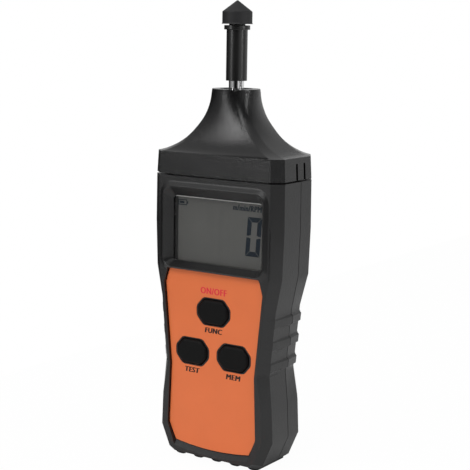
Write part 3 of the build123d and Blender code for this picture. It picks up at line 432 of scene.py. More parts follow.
@dataclass(frozen=True)
class DisplayFilm(Finish):
    """Grey reflective display: a polariser with faint vertical streaks over a matt reflector."""

    colour: Colour
    roughness: float = 0.35
    tone: Pair = (0.82, 1.2)
    streak: float = 1.2 * MM
    streak_share: float = 0.4
    streak_stretch: Triple = (1.0, 1.0, 0.02)
    cloud: float = 12 * MM
    specular: float = 0.3

    def surface(self, graph: Graph) -> bpy.types.Node:
        """Streaks along Z and slow clouds.

        Args:
            graph: the material's tree.

        Returns:
            The shader.
        """
        streaks = self.noise(graph, self.place(graph, self.streak_stretch), self.streak, detail=3.0)
        clouds = self.noise(graph, self.place(graph), self.cloud)
        mixed = streaks * self.streak_share + clouds * (1 - self.streak_share)
        return self.principled(graph, {
            "Base Color": self.tint(graph, mixed, self.tone),
            "Roughness": self.roughness,
            "Specular IOR Level": self.specular,
        })


@dataclass(frozen=True)
class BoardLacquer(Finish):
    """Circuit board: solder mask over tracks that show as lighter bands."""

    colour: Colour
    tone: Pair = (1.0, 1.9)
    track: float = 2.4 * MM
    track_long: float = 12 * MM
    groove: float = 0.25 * MM
    depth: float = 0.03 * MM
    roughness: float = 0.3
    roughness_swing: float = 0.08

    def surface(self, graph: Graph) -> bpy.types.Node:
        """Tracks as narrow bricks, raised a little.

        Args:
            graph: the material's tree.

        Returns:
            The shader.
        """
        turned = graph.node("ShaderNodeMapping", None, {
            "Vector": self.place(graph), "Rotation": (math.pi / 2, 0, 0)})
        bricks = graph.node("ShaderNodeTexBrick", {"offset": 0.37, "squash": 1.6}, {
            "Vector": turned.outputs[0], "Scale": 1.0, "Mortar Size": self.groove,
            "Brick Width": self.track_long, "Row Height": self.track})
        tracks = Value(graph, bricks.outputs["Fac"])
        return self.principled(graph, {
            "Base Color": self.tint(graph, tracks, self.tone),
            "Roughness": tracks * self.roughness_swing + self.roughness,
            "Normal": self.bump(graph, tracks, self.depth),
        })


@dataclass(frozen=True)
class LayeredRubber(Finish):
    """Contact strip: conductive layers between insulating ones."""

    colour: Colour
    conductor: Colour = (0.02, 0.02, 0.02)
    pitch: float = 0.5 * MM
    unit_wave: float = 0.314
    roughness: float = 0.7

    def surface(self, graph: Graph) -> bpy.types.Node:
        """Bands across X; a wave of scale 1 is unit_wave metres long.

        Args:
            graph: the material's tree.

        Returns:
            The shader.
        """
        wave = graph.node("ShaderNodeTexWave", {"bands_direction": "X"}, {
            "Vector": self.place(graph), "Scale": self.unit_wave / self.pitch, "Distortion": 0.2})
        bands = Value(graph, wave.outputs[1]).smooth(0.4, 0.6)
        return self.principled(graph, {
            "Base Color": self.mix(graph, bands, self.conductor, self.colour),
            "Roughness": self.roughness,
        })


@dataclass(frozen=True)
class FloorPaper(Finish):
    """Pale floor that is white to the eye and keeps a soft shadow."""

    colour: Colour = (0.9, 0.9, 0.9)
    white: float = 0.975

    def surface(self, graph: Graph) -> bpy.types.Node:
        """Matt paper, nearly covered by plain white where the camera looks.

        Args:
            graph: the material's tree.

        Returns:
            The shader.
        """
        paper = graph.node("ShaderNodeBsdfDiffuse", None, {"Color": (*self.colour, 1.0)})
        white = graph.node("ShaderNodeEmission", None, {"Color": WHITE, "Strength": 1.0})
        return graph.node("ShaderNodeMixShader", None, {
            0: graph.camera_ray() * self.white, 1: paper.outputs[0], 2: white.outputs[0]})


class Palette:
    """The finish of each material slot, made into a material when it is first asked for."""

    finishes: dict[str, Finish] = {
        "case_plastic": MouldedPlastic((0.0065, 0.0065, 0.0068), 0.34),
        "adapter_plastic": MouldedPlastic((0.004, 0.004, 0.0042), 0.24),
        "overlay_orange": PrintedFilm((0.74, 0.169, 0.05)),
        "window_clear": ClearPlastic(),
        "display_glass": DisplayFilm((0.08, 0.08, 0.075)),
        "inner_plastic": MouldedPlastic((0.012, 0.012, 0.012), 0.5),
        "contact_rubber": LayeredRubber((0.45, 0.3, 0.32)),
        "board_green": BoardLacquer((0.012, 0.09, 0.035)),
        "chip_black": MouldedPlastic((0.018, 0.018, 0.019), 0.55),
        "can_metal": TurnedMetal((0.75, 0.76, 0.77), 0.25),
        "header_white": MouldedPlastic((0.72, 0.69, 0.6), 0.45),
        "screw_steel": TurnedMetal((0.5, 0.5, 0.51), 0.28),
        "emitter_clear": ClearPlastic((0.85, 0.9, 1.0), 1.5),
        "sensor_dark": MouldedPlastic((0.05, 0.006, 0.009), 0.12, 0.001 * MM),
        "battery_jacket": MouldedPlastic((0.09, 0.095, 0.105), 0.3, 0.002 * MM),
        "lead_pvc": SoftRubber((0.35, 0.015, 0.015), 0.4, 0.1),
        "lead_black": SoftRubber((0.012, 0.012, 0.012), 0.4, 0.1),
        "battery_band": MouldedPlastic((0.55, 0.24, 0.07), 0.28, 0.002 * MM),
        "solder": TurnedMetal((0.72, 0.72, 0.74), 0.22),
        "bearing_steel": TurnedMetal((0.68, 0.68, 0.7), 0.16),
        "shaft_steel": TurnedMetal((0.8, 0.8, 0.81), 0.1),
        "mark_silver": TurnedMetal((0.8, 0.8, 0.8), 0.3),
        "holder_plastic": MouldedPlastic((0.008, 0.008, 0.008), 0.3, 0.006 * MM),
        "tip_rubber": SoftRubber((0.01, 0.01, 0.011)),
        "key_rubber": SoftRubber((0.003, 0.003, 0.0031), 0.5, 0.12, 0.12),
        "plunger_plastic": MouldedPlastic((0.6, 0.6, 0.57), 0.4),
        # painted highlight: pale plastic on the window's top edge, in place of the bright line of light
        # along it
        "painted_pane_highlight": MouldedPlastic((0.8, 0.8, 0.78), 0.2, 0.001 * MM),
        "label_red": PrintedInk((0.72, 0.03, 0.052)),
        "label_black": PrintedInk((0.012, 0.009, 0.008)),
        "segment_dark": PrintedInk((0.002, 0.008, 0.016), 0.05),
    }

    def __init__(self) -> None:
        """Start with nothing built."""
        self.built: dict[str, bpy.types.Material] = {}

    def material(self, slot: str) -> bpy.types.Material:
        """Find or build the material of one slot.

        Args:
            slot: the slot's name.

        Returns:
            The material.
        """
        if slot not in self.built:
            self.built[slot] = self.finishes[slot].material(slot)
        return self.built[slot]

    def dress_frame(self) -> None:
        """Give every CAD node the finish that its slot in the record names."""
        for subpart in frame["record"]["subparts"]:
            node = frame["nodes"][subpart["node"]]
            finish = self.material(subpart["material_slot"])
            if not node.material_slots:
                node.data.materials.append(finish)
            for slot in node.material_slots:
                slot.material = finish


def add_object(name: str, data: bpy.types.ID) -> bpy.types.Object:
    """Put a new object in the scene.

    Args:
        name: the object's name.
        data: its mesh, curve, lamp or camera.

    Returns:
        The object.
    """
    made = bpy.data.objects.new(name, data)
    bpy.context.scene.collection.objects.link(made)
    return made


def take_mesh(holder: bpy.types.Object) -> bpy.types.Mesh:
    """Turn an object into the plain mesh that its modifiers or its curve make.

    Args:
        holder: the object, which is removed.

    Returns:
        The mesh.
    """
    depsgraph = bpy.context.evaluated_depsgraph_get()
    mesh = bpy.data.meshes.new_from_object(
        holder.evaluated_get(depsgraph), preserve_all_data_layers=True, depsgraph=depsgraph)
    holder.modifiers.clear()
    bpy.data.objects.remove(holder)
    return mesh


@contextmanager
def edited(mesh: bpy.types.Mesh) -> Iterator[bmesh.types.BMesh]:
    """Open a mesh, and write it back when the work on it is done.

    Args:
        mesh: the mesh to work on.

    Yields:
        Its editable form.
    """
    shape = bmesh.new()
    shape.from_mesh(mesh)
    yield shape
    shape.to_mesh(mesh)
    shape.free()


def join_meshes(meshes: Iterable[bpy.types.Mesh]) -> bpy.types.Mesh:
    """Join several meshes into one.

    Args:
        meshes: the meshes, which are removed.

    Returns:
        The new mesh.
    """
    joined = bpy.data.meshes.new("joined")
    with edited(joined) as shape:
        for mesh in meshes:
            shape.from_mesh(mesh)
            bpy.data.meshes.remove(mesh)
    return joined


def smooth_faces(shape: bmesh.types.BMesh, turn: float) -> None:
    """Shade faces smooth, but for hard edges.

    Args:
        shape: the mesh to shade.
        turn: the angle in degrees from which an edge is hard.
    """
    for face in shape.faces:
        face.smooth = True
    for edge in shape.edges:
        edge.smooth = edge.calc_face_angle(0.0) < math.radians(turn)


@dataclass
class Accent:
    """A second finish for the faces of a piece whose middle lies in a box."""

    finish: str
    low: Vector
    high: Vector

    def covers(self, point: Vector) -> bool:
        """Whether a point lies in the box."""
        return all(low <= value <= high for value, low, high in zip(point, self.low, self.high))


@dataclass
class Piece:
    """One shown piece: its mesh, the body it rides on, its finish and the nodes it stands for."""

    name: str
    mesh: bpy.types.Mesh
    body: str
    finish: str
    replaces: tuple[str, ...] = ()
    accents: tuple[Accent, ...] = ()

    def place(self, palette: Palette) -> bpy.types.Object:
        """Put the piece in the scene.

        Args:
            palette: where its finish comes from.

        Returns:
            The new object, at the origin and riding on its body.
        """
        self.mesh.name = self.name
        self.mesh.materials.clear()
        self.mesh.materials.append(palette.material(self.finish))
        for index, accent in enumerate(self.accents, start=1):
            self.mesh.materials.append(palette.material(accent.finish))
            for face in self.mesh.polygons:
                if accent.covers(face.center):
                    face.material_index = index
        piece = add_object(self.name, self.mesh)
        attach(piece, self.body)
        self.finish in {slot["slot"] for slot in frame["record"]["materials"]}
        if self.replaces:
            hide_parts(*self.replaces)
        log.info("%s: %d faces, on %s", self.name, len(self.mesh.polygons), self.body)
        return piece


@dataclass(frozen=True)
class EdgeRule:
    """Which sharp edges are rounded: those whose ends lie in a box, and how far; lengths in mm."""

    width: float
    low: Triple = (-math.inf, -math.inf, -math.inf)
    high: Triple = (math.inf, math.inf, math.inf)
    turn: float = 22.0
    segments: int = 3
    shortest: float = 0.0

    def holds(self, edge: bmesh.types.BMEdge) -> bool:
        """Tell whether an edge is sharp and long enough and inside the box.

        Args:
            edge: the edge to test.

        Returns:
            True where the edge is to be rounded.
        """
        if len(edge.link_faces) != 2 or edge.calc_face_angle(0.0) < math.radians(self.turn):
            return False
        if edge.calc_length() < self.shortest * MM:
            return False
        return all(
            low * MM <= value <= high * MM
            for corner in edge.verts
            for value, low, high in zip(corner.co, self.low, self.high))


class Softener:
    """Makes a merged copy of a CAD node, with its sharp edges rounded and its faces smooth."""

    merge = 0.002 * MM
    flat_turn = math.radians(0.5)

    def __init__(self, node: str) -> None:
        """Copy the node's mesh, join its loose triangles and melt its flat faces into one.

        Args:
            node: the CAD node's name.
        """
        self.mesh = frame["nodes"][node].data.copy()
        self.shape = bmesh.new()
        self.shape.from_mesh(self.mesh)
        bmesh.ops.remove_doubles(self.shape, verts=self.shape.verts, dist=self.merge)
        bmesh.ops.dissolve_limit(
            self.shape, angle_limit=self.flat_turn, verts=self.shape.verts, edges=self.shape.edges)

    def round_edges(self, rule: EdgeRule) -> None:
        """Bevel the edges that a rule picks.

        Args:
            rule: which edges, and how far.
        """
        edges = [edge for edge in self.shape.edges if rule.holds(edge)]
        if edges:
            bmesh.ops.bevel(
                self.shape, geom=edges, offset=rule.width * MM, offset_type="OFFSET",
                segments=rule.segments, profile=0.5, affect="EDGES", clamp_overlap=True)

    def finish(self, turn: float) -> bpy.types.Mesh:
        """Write the mesh, with normals that keep large faces flat and let rounded edges take the turn.

        Args:
            turn: the angle in degrees from which an edge stays hard.

        Returns:
            The finished mesh.
        """
        smooth_faces(self.shape, turn)
        self.mesh.clear_geometry()
        self.shape.to_mesh(self.mesh)
        self.shape.free()
        holder = add_object("holder", self.mesh)
        holder.modifiers.new("weights", "WEIGHTED_NORMAL").keep_sharp = True
        return take_mesh(holder)


def softened(
    name: str, node: str, body: str, finish: str, *rules: EdgeRule,
    turn: float = 30.0, accents: tuple[Accent, ...] = (),
) -> Piece:
    """Make the piece that stands for one CAD node.

    Args:
        name: the piece's name.
        node: the CAD node that it replaces.
        body: the body that it rides on.
        finish: its finish.
        rules: which edges are rounded, one rule after another.
        turn: the angle in degrees from which an edge stays hard.
        accents: second finishes on some of its faces.

    Returns:
        The piece.
    """
    softener = Softener(node)
    for rule in rules:
        softener.round_edges(rule)
    return Piece(name, softener.finish(turn), body, finish, (node,), accents)


def flat_solids(outlines: Iterable[Sequence[Pair]], front: float, thick: float) -> bpy.types.Mesh:
    """Thin plates that face the front.

    Args:
        outlines: X and Z points of each plate.
        front: Y of their front faces.
        thick: how thick they are.

    Returns:
        One mesh of closed plates.
    """
    mesh = bpy.data.meshes.new("plates")
    with edited(mesh) as shape:
        for outline in outlines:
            near = [shape.verts.new((x, front, z)) for x, z in outline]
            far = [shape.verts.new((x, front + thick, z)) for x, z in outline]
            for index in range(len(near)):
                after = (index + 1) % len(near)
                shape.faces.new((near[index], far[index], far[after], near[after]))
            shape.faces.new(near)
            shape.faces.new(reversed(far))
        bmesh.ops.recalc_face_normals(shape, faces=shape.faces)
    return mesh


class Pattern(Enum):
    """Ways to set out copies of a small shape."""

    ROW = "GeometryNodeMeshLine"
    GRID = "GeometryNodeMeshGrid"


class Shape(Enum):
    """Small shapes that are set out in patterns."""

    BLOCK = "GeometryNodeMeshCube"
    DOME = "GeometryNodeMeshUVSphere"


class GeometryGraph(Graph):
    """A Geometry Nodes tree with named inputs, run once on an empty mesh."""

    def __init__(self, name: str) -> None:
        """Start a tree whose only output is a mesh.

        Args:
            name: the tree's name.
        """
        super().__init__(bpy.data.node_groups.new(name, "GeometryNodeTree"))
        self.tree.interface.new_socket("Geometry", in_out="OUTPUT", socket_type="NodeSocketGeometry")
        self.given: dict[str, Any] = {}

    def input(self, name: str, kind: str, value: Any) -> Value:
        """Add a named input.

        Args:
            name: the input's name.
            kind: its socket type after "NodeSocket", such as Float.
            value: what this run sets it to.

        Returns:
            The input as a value.
        """
        socket = self.tree.interface.new_socket(name, in_out="INPUT", socket_type="NodeSocket" + kind)
        self.given[socket.identifier] = value
        return Value(self, self.node("NodeGroupInput").outputs[name])

    def mesh(self, shape: bpy.types.NodeSocket, finish: Value) -> bpy.types.Mesh:
        """Close the tree with its material, run it and keep the result as a plain mesh.

        Args:
            shape: the geometry that the tree has made.
            finish: the tree's material input.

        Returns:
            The mesh.
        """
        real = self.node("GeometryNodeRealizeInstances", None, {0: shape})
        dressed = self.node("GeometryNodeSetMaterial", None, {
            "Geometry": real.outputs[0], "Material": finish})
        self.node("NodeGroupOutput", None, {0: dressed.outputs[0]})
        holder = add_object(self.tree.name, bpy.data.meshes.new(self.tree.name))
        modifier = holder.modifiers.new(self.tree.name, "NODES")
        modifier.node_group = self.tree
        for identifier, value in self.given.items():
            modifier[identifier] = value
        return take_mesh(holder)


@dataclass(frozen=True)
class Repeat:
    """Copies of a small shape in a row or a grid, made by Geometry Nodes."""

    pattern: Pattern
    count: tuple[int, int]
    pitch: Pair
    size: Triple
    centre: Vector
    turn: Triple = (0.0, 0.0, 0.0)
    shape: Shape = Shape.BLOCK
    kept: float = 1.0
    seed: int = 3

    def mesh(self, name: str, finish: bpy.types.Material) -> bpy.types.Mesh:
        """Build the tree for this pattern and run it.

        Args:
            name: the tree's name.
            finish: the copies' material.

        Returns:
            The copies as one mesh, in place.
        """
        graph = GeometryGraph(name)
        count = graph.input("Count", "Int", self.count[0])
        rows = graph.input("Rows", "Int", self.count[1])
        pitch = graph.input("Pitch", "Float", self.pitch[0])
        row_pitch = graph.input("Row pitch", "Float", self.pitch[1])
        kept = graph.input("Share kept", "Float", self.kept)
        seed = graph.input("Seed", "Int", self.seed)
        material = graph.input("Finish", "Material", finish)
        if self.pattern is Pattern.ROW:
            line = graph.node(self.pattern.value, None, {
                "Count": count, "Offset": self.across(graph, pitch)})
            points = graph.node("GeometryNodeTransform", None, {
                "Geometry": line.outputs[0],
                "Translation": self.across(graph, (count - 1) * pitch * -0.5)}).outputs[0]
        else:
            points = graph.node(self.pattern.value, None, {
                "Vertices X": count, "Vertices Y": rows,
                "Size X": (count - 1) * pitch, "Size Y": (rows - 1) * row_pitch}).outputs[0]
        stone = graph.node(self.shape.value).outputs["Mesh"]
        keep = graph.node("FunctionNodeRandomValue", {"data_type": "BOOLEAN"}, {
            "Probability": kept, "Seed": seed})
        copies = graph.node("GeometryNodeInstanceOnPoints", None, {
            "Points": points, "Selection": keep.outputs[3], "Instance": stone, "Scale": self.size})
        placed = graph.node("GeometryNodeTransform", None, {
            "Geometry": copies.outputs[0], "Translation": self.centre, "Rotation": self.turn})
        return graph.mesh(placed.outputs[0], material)

    @staticmethod
    def across(graph: Graph, length: Value) -> bpy.types.NodeSocket:
        """A vector along X."""
        return graph.node("ShaderNodeCombineXYZ", None, {0: length}).outputs[0]


@dataclass(frozen=True)
class Lettering:
    """A word printed on a face that looks to the front."""

    text: str
    centre_x: float
    centre_z: float
    height: float
    width: float
    weight: float
    slant: float = 0.0
    spacing: float = 1.12
    strikes: int = 3
    strike_step: float = 0.001 * MM

    def mesh(self, front: float, thick: float) -> bpy.types.Mesh:
        """Build the word as thin solid letters.

        Args:
            front: Y of the letters' front faces.
            thick: how far they stand in front of what carries them.

        Returns:
            The letters' mesh, in place.
        """
        curve = bpy.data.curves.new(self.text, "FONT")
        curve.body = self.text
        curve.extrude = 0.5
        curve.shear = self.slant
        curve.space_character = self.spacing
        curve.resolution_u = 3
        mesh = take_mesh(add_object("writer", curve))
        bpy.data.curves.remove(curve)
        low, high = ([pick(vertex.co[axis] for vertex in mesh.vertices) for axis in range(3)]
                     for pick in (min, max))
        for vertex in mesh.vertices:
            across, up, out = (
                (value - (a + b) / 2) / (b - a) for value, a, b in zip(vertex.co, low, high))
            vertex.co = (
                self.centre_x + across * self.width,
                front + thick * (0.5 - out),
                self.centre_z + up * self.height)
        return self.embolden(mesh)

    def embolden(self, mesh: bpy.types.Mesh) -> bpy.types.Mesh:
        """Print the letters several times, each a little to the side and a hair lower.

        Args:
            mesh: the letters, printed once.

        Returns:
            The bold letters.
        """
        prints = []
        for strike in range(self.strikes):
            side = strike / (self.strikes - 1) - 0.5
            prints.append(mesh.copy())
            prints[-1].transform(
                Matrix.Translation((side * self.weight, strike * self.strike_step, 0.0)))
        bpy.data.meshes.remove(mesh)
        bold = join_meshes(prints)
        with edited(bold) as shape:
            bmesh.ops.remove_doubles(shape, verts=shape.verts, dist=1e-7)
            bmesh.ops.recalc_face_normals(shape, faces=shape.faces)
        return bold


@dataclass
class CaseShells:
    """The covers of the case and the battery door, with the edges that moulding rounds; lengths in mm."""

    edge: float = 0.28
    edge_shortest: float = 1.5
    ridge_foot_edge: float = 0.45
    fine_edge: float = 0.12
    screw_edge: float = 0.08
    overlay_deep: float = 1.1
    ridge_reach: float = 27.0
    ridge_heights: Pair = (75.0, 115.0)
    ridge_slack: float = 0.05
    reach: float = 40.0
    heights: Pair = (-1.0, 116.0)
    front_end: float = 0.2
    rear_depths: Pair = (1.0, 16.0)

    def ridge_rule(self, width: float, depth: float, shortest: float = 0.0) -> EdgeRule:
        """Round the edges of the ridge round the window that lie at one depth.

        Args:
            width: how far they are rounded.
            depth: their Y.
            shortest: the shortest edge that is rounded.

        Returns:
            The rule.
        """
        low, high = self.ridge_heights
        return EdgeRule(
            width, (-self.ridge_reach, depth - self.ridge_slack, low),
            (self.ridge_reach, depth + self.ridge_slack, high), shortest=shortest)

    def cover_rule(self, front: float, back: float) -> EdgeRule:
        """Round the long edges of a cover between two depths.

        Args:
            front: the least Y.
            back: the greatest Y.

        Returns:
            The rule.
        """
        low, high = self.heights
        return EdgeRule(
            self.edge, (-self.reach, front, low), (self.reach, back, high), shortest=self.edge_shortest)

    def pieces(self) -> list[Piece]:
        """Build the covers, the door and the case screws.

        Returns:
            The pieces.
        """
        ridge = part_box("front_cover")[0].y / MM
        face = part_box("face_overlay")[0].y / MM - self.overlay_deep
        return [
            softened(
                "front_cover_moulding", "front_cover", "housing", "case_plastic",
                self.ridge_rule(self.ridge_foot_edge, face, shortest=0.2),
                self.ridge_rule(self.fine_edge, ridge),
                self.cover_rule(face - 2 * self.ridge_slack, self.front_end)),
            softened(
                "rear_cover_moulding", "rear_cover", "housing", "case_plastic",
                self.cover_rule(*self.rear_depths)),
            softened(
                "battery_door_moulding", "battery_door", "door", "case_plastic",
                EdgeRule(self.fine_edge, shortest=0.5)),
            softened(
                "case_screws_turned", "case_screws", "housing", "screw_steel",
                EdgeRule(self.screw_edge, shortest=0.1)),
        ]


@dataclass(frozen=True)
class KeyLabel:
    """A word printed near a key: its place from the key's middle and its size, in mm."""

    text: str
    key: str
    across: float
    up: float
    height: float
    width: float
    finish: str = "label_black"
    weight: float = 0.4
    slant: float = 0.13

    def piece(self, front: float, thick: float) -> Piece:
        """Print the word.

        Args:
            front: Y of the print's face.
            thick: how thick it is.

        Returns:
            The word as a piece.
        """
        low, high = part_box("button_" + self.key)
        word = Lettering(
            self.text, (low.x + high.x) / 2 + self.across * MM, (low.z + high.z) / 2 + self.up * MM,
            self.height * MM, self.width * MM, self.weight * MM, self.slant)
        name = "label_" + self.text.replace("/", "_").lower()
        return Piece(name, word.mesh(front, thick), "housing", self.finish)


@dataclass
class KeyPanel:
    """The overlay with its printed words, and the three keys."""

    print_thick: float = 0.02 * MM
    labels: tuple[KeyLabel, ...] = (
        KeyLabel("ON/OFF", "on_off", 0.0, 8.4, 2.6, 12.3, "label_red", weight=0.3, slant=0.0),
        KeyLabel("FUNC", "on_off", 0.2, -7.5, 2.1, 8.0),
        KeyLabel("TEST", "test", 0.0, -7.6, 2.1, 6.9),
        KeyLabel("MEM", "mem", 0.0, -7.7, 2.1, 6.6),
    )

    def pieces(self) -> list[Piece]:
        """Build the overlay, the words and the keys.

        Returns:
            The pieces.
        """
        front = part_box("face_overlay")[0].y - self.print_thick
        overlay = softened(
            "face_overlay_film", "face_overlay", "housing", "overlay_orange",
            EdgeRule(width=0.06, shortest=0.3, segments=2))
        words = [label.piece(front, self.print_thick) for label in self.labels]
        keys = [
            softened(
                "key_" + key, "button_" + key, key + "_key", "key_rubber",
                EdgeRule(width=0.15, shortest=0.2), turn=40)
            for key in ("on_off", "test", "mem")]
        return [overlay, *words, *keys]


class Segment(Enum):
    """Dark segments of the digit: the end they belong to, and the side they run along, or 0."""

    TOP = (1, 0)
    BOTTOM = (-1, 0)
    UPPER_LEFT = (1, -1)
    UPPER_RIGHT = (1, 1)
    LOWER_LEFT = (-1, -1)
    LOWER_RIGHT = (-1, 1)


@dataclass
class Display:
    """Window, liquid crystal panel and what it shows: a nought, a battery sign and a unit."""

    digit_x: float = 16.0 * MM
    digit_z: float = 93.9 * MM
    half_wide: float = 3.3 * MM
    half_high: float = 7.75 * MM
    stroke: float = 1.95 * MM
    gap: float = 0.12 * MM
    split: float = 0.36 * MM
    slant: float = math.radians(4.1)
    nose_in: float = 0.45
    nose_up: float = 0.35
    ink: float = 0.02 * MM
    sign_low: Pair = (-20.3 * MM, 103.5 * MM)
    sign_high: Pair = (-16.0 * MM, 105.8 * MM)
    sign_line: float = 0.34 * MM
    unit: Lettering = Lettering(
        "m/min/RPM", centre_x=12.9 * MM, centre_z=104.9 * MM, height=2.3 * MM, width=13.2 * MM,
        weight=0.3 * MM, slant=0.1)
    # where the painted highlight lies on the window: inset from its top and ends, how far down it
    # reaches, and between which depths
    painted_highlight_inset: float = 1.2 * MM
    painted_highlight_foot: float = 2.1 * MM
    painted_highlight_depths: Pair = (0.02 * MM, 0.35 * MM)

    def segment(self, segment: Segment) -> list[Pair]:
        """Outline one segment, leaned with the digit.

        Args:
            segment: which one.

        Returns:
            X and Z of its corners.
        """
        end, side = segment.value
        wide, high, stroke, gap = self.half_wide, self.half_high, self.stroke, self.gap
        if side:
            points = [
                (wide, high - gap), (wide, self.split), (wide - stroke * self.nose_in, self.split),
                (wide - stroke, stroke * self.nose_up), (wide - stroke, high - stroke - gap)]
        else:
            points = [
                (gap - wide, high), (wide - gap, high), (wide - stroke - gap, high - stroke),
                (stroke + gap - wide, high - stroke)]
        return [
            (self.digit_x + (side or 1) * x + end * z * math.tan(self.slant), self.digit_z + end * z)
            for x, z in points]

    def battery_sign(self) -> list[list[Pair]]:
        """Outline a battery with a charge in it and a terminal at its right end.

        Returns:
            X and Z of the corners of each of its bars.
        """
        line = self.sign_line
        (left, foot), (right, head) = self.sign_low, self.sign_high
        middle = (foot + 2 * line, head - 2 * line)
        charge_end, terminal_end = right - 4 * line, right + 1.6 * line
        bars = (
            (left, right, foot, foot + line), (left, right, head - line, head),
            (left, left + line, foot + line, head - line),
            (right - line, right, foot + line, head - line),
            (left + 2 * line, charge_end, *middle), (right, terminal_end, *middle))
        return [[(a, low), (b, low), (b, high), (a, high)] for a, b, low, high in bars]

    def pieces(self) -> list[Piece]:
        """Build the window with a painted highlight along its upper edge, the panel, the digit, the sign
        and the unit.

        Returns:
            The pieces.
        """
        low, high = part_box("lcd_window")
        near, far = self.painted_highlight_depths
        # painted highlight: the window's faces along its top edge take a pale opaque finish, in place of
        # the bright line of light there
        edge = Vector((high.x - self.painted_highlight_inset, low.y + far, high.z - self.painted_highlight_inset))
        pale = Accent("painted_pane_highlight", Vector((-edge.x, low.y + near, high.z - self.painted_highlight_foot)), edge)
        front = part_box("lcd_panel")[0].y - self.ink
        digit = flat_solids(map(self.segment, Segment), front, self.ink)
        sign = flat_solids(self.battery_sign(), front, self.ink)
        return [
            softened("lcd_window_clear", "lcd_window", "housing", "window_clear", accents=(pale,)),
            softened("lcd_panel_film", "lcd_panel", "housing", "display_glass", EdgeRule(width=0.05)),
            Piece("lcd_digit", digit, "housing", "segment_dark"),
            Piece("lcd_battery_sign", sign, "housing", "segment_dark"),
            Piece("lcd_unit", self.unit.mesh(front, self.ink), "housing", "segment_dark"),
        ]


@dataclass
class Electronics:
    """What shows on the main board when the case is open: legs, solder and small parts."""

    palette: Palette
    legs: int = 11
    leg_pitch: float = 0.8 * MM
    leg_size: Triple = (0.35 * MM, 1.0 * MM, 0.2 * MM)
    leg_tuck: float = 0.1 * MM
    small_size: Triple = (1.6 * MM, 0.8 * MM, 0.5 * MM)
    small_count: tuple[int, int] = (4, 6)
    small_pitch: Pair = (3.1 * MM, 2.6 * MM)
    small_kept: float = 0.6
    field_x: float = 11.0 * MM
    field_z: float = 69.5 * MM
    pin_size: Triple = (0.55 * MM, 0.44 * MM, 0.55 * MM)
    pin_pitch: float = 2.54 * MM

    def chip_legs(self) -> bpy.types.Mesh:
        """Set out rows of legs on the four sides of the microcontroller.

        Returns:
            The legs as one mesh.
        """
        low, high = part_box("microcontroller")
        across, along, thick = self.leg_size
        middle = (low + high) / 2
        middle.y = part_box("main_board")[1].y + thick / 2
        reach = (high.x - low.x) / 2 + along / 2 - self.leg_tuck
        rows = []
        for side in (-1, 1):
            shifts = (Vector((0, 0, side * reach)), Vector((side * reach, 0, 0)))
            for shift, turn in zip(shifts, (0.0, math.pi / 2)):
                row = Repeat(
                    Pattern.ROW, (self.legs, 1), (self.leg_pitch, 0.0), (across, thick, along),
                    middle + shift, (0.0, turn, 0.0))
                rows.append(row.mesh("chip_legs", self.palette.material("solder")))
        return join_meshes(rows)

    def small_parts(self) -> bpy.types.Mesh:
        """Set out two fields of chip resistors, with random places left empty.

        Returns:
            The parts as one mesh.
        """
        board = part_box("main_board")[1].y
        fields = []
        for side in (-1, 1):
            centre = Vector((side * self.field_x, board + self.small_size[2] / 2, self.field_z))
            field = Repeat(
                Pattern.GRID, self.small_count, self.small_pitch, self.small_size, centre,
                (math.pi / 2, 0.0, 0.0), kept=self.small_kept, seed=5 + side)
            fields.append(field.mesh("small_parts", self.palette.material("chip_black")))
        return join_meshes(fields)

    def pins(self, node: str, count: int) -> bpy.types.Mesh:
        """Set out a row of solder domes in front of a header that sits behind the board.

        Args:
            node: the header's CAD node.
            count: how many pins it has.

        Returns:
            The domes as one mesh.
        """
        low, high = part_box(node)
        centre = Vector(((low.x + high.x) / 2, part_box("main_board")[0].y, (low.z + high.z) / 2))
        row = Repeat(
            Pattern.ROW, (count, 1), (self.pin_pitch, 0.0), self.pin_size, centre, shape=Shape.DOME)
        return row.mesh("solder_" + node, self.palette.material("solder"))

    def pieces(self) -> list[Piece]:
        """Build the legs, the small parts, the solder and the softened blocks.

        Returns:
            The pieces.
        """
        return [
            softened(
                "microcontroller_body", "microcontroller", "housing", "chip_black",
                EdgeRule(width=0.06, shortest=0.3)),
            Piece("microcontroller_legs", self.chip_legs(), "housing", "solder"),
            Piece("chip_resistors", self.small_parts(), "housing", "chip_black"),
            softened(
                "wire_header_block", "wire_header", "housing", "header_white", EdgeRule(width=0.15)),
            Piece("wire_header_solder", self.pins("wire_header", 2), "housing", "solder"),
            Piece("board_link_solder", self.pins("board_link", 5), "housing", "solder"),
            softened(
                "tact_switches", "switch_housings", "housing", "inner_plastic",
                EdgeRule(width=0.2, shortest=2.0)),
            softened("capacitor_cans", "capacitors", "housing", "can_metal", EdgeRule(width=0.25)),
        ]


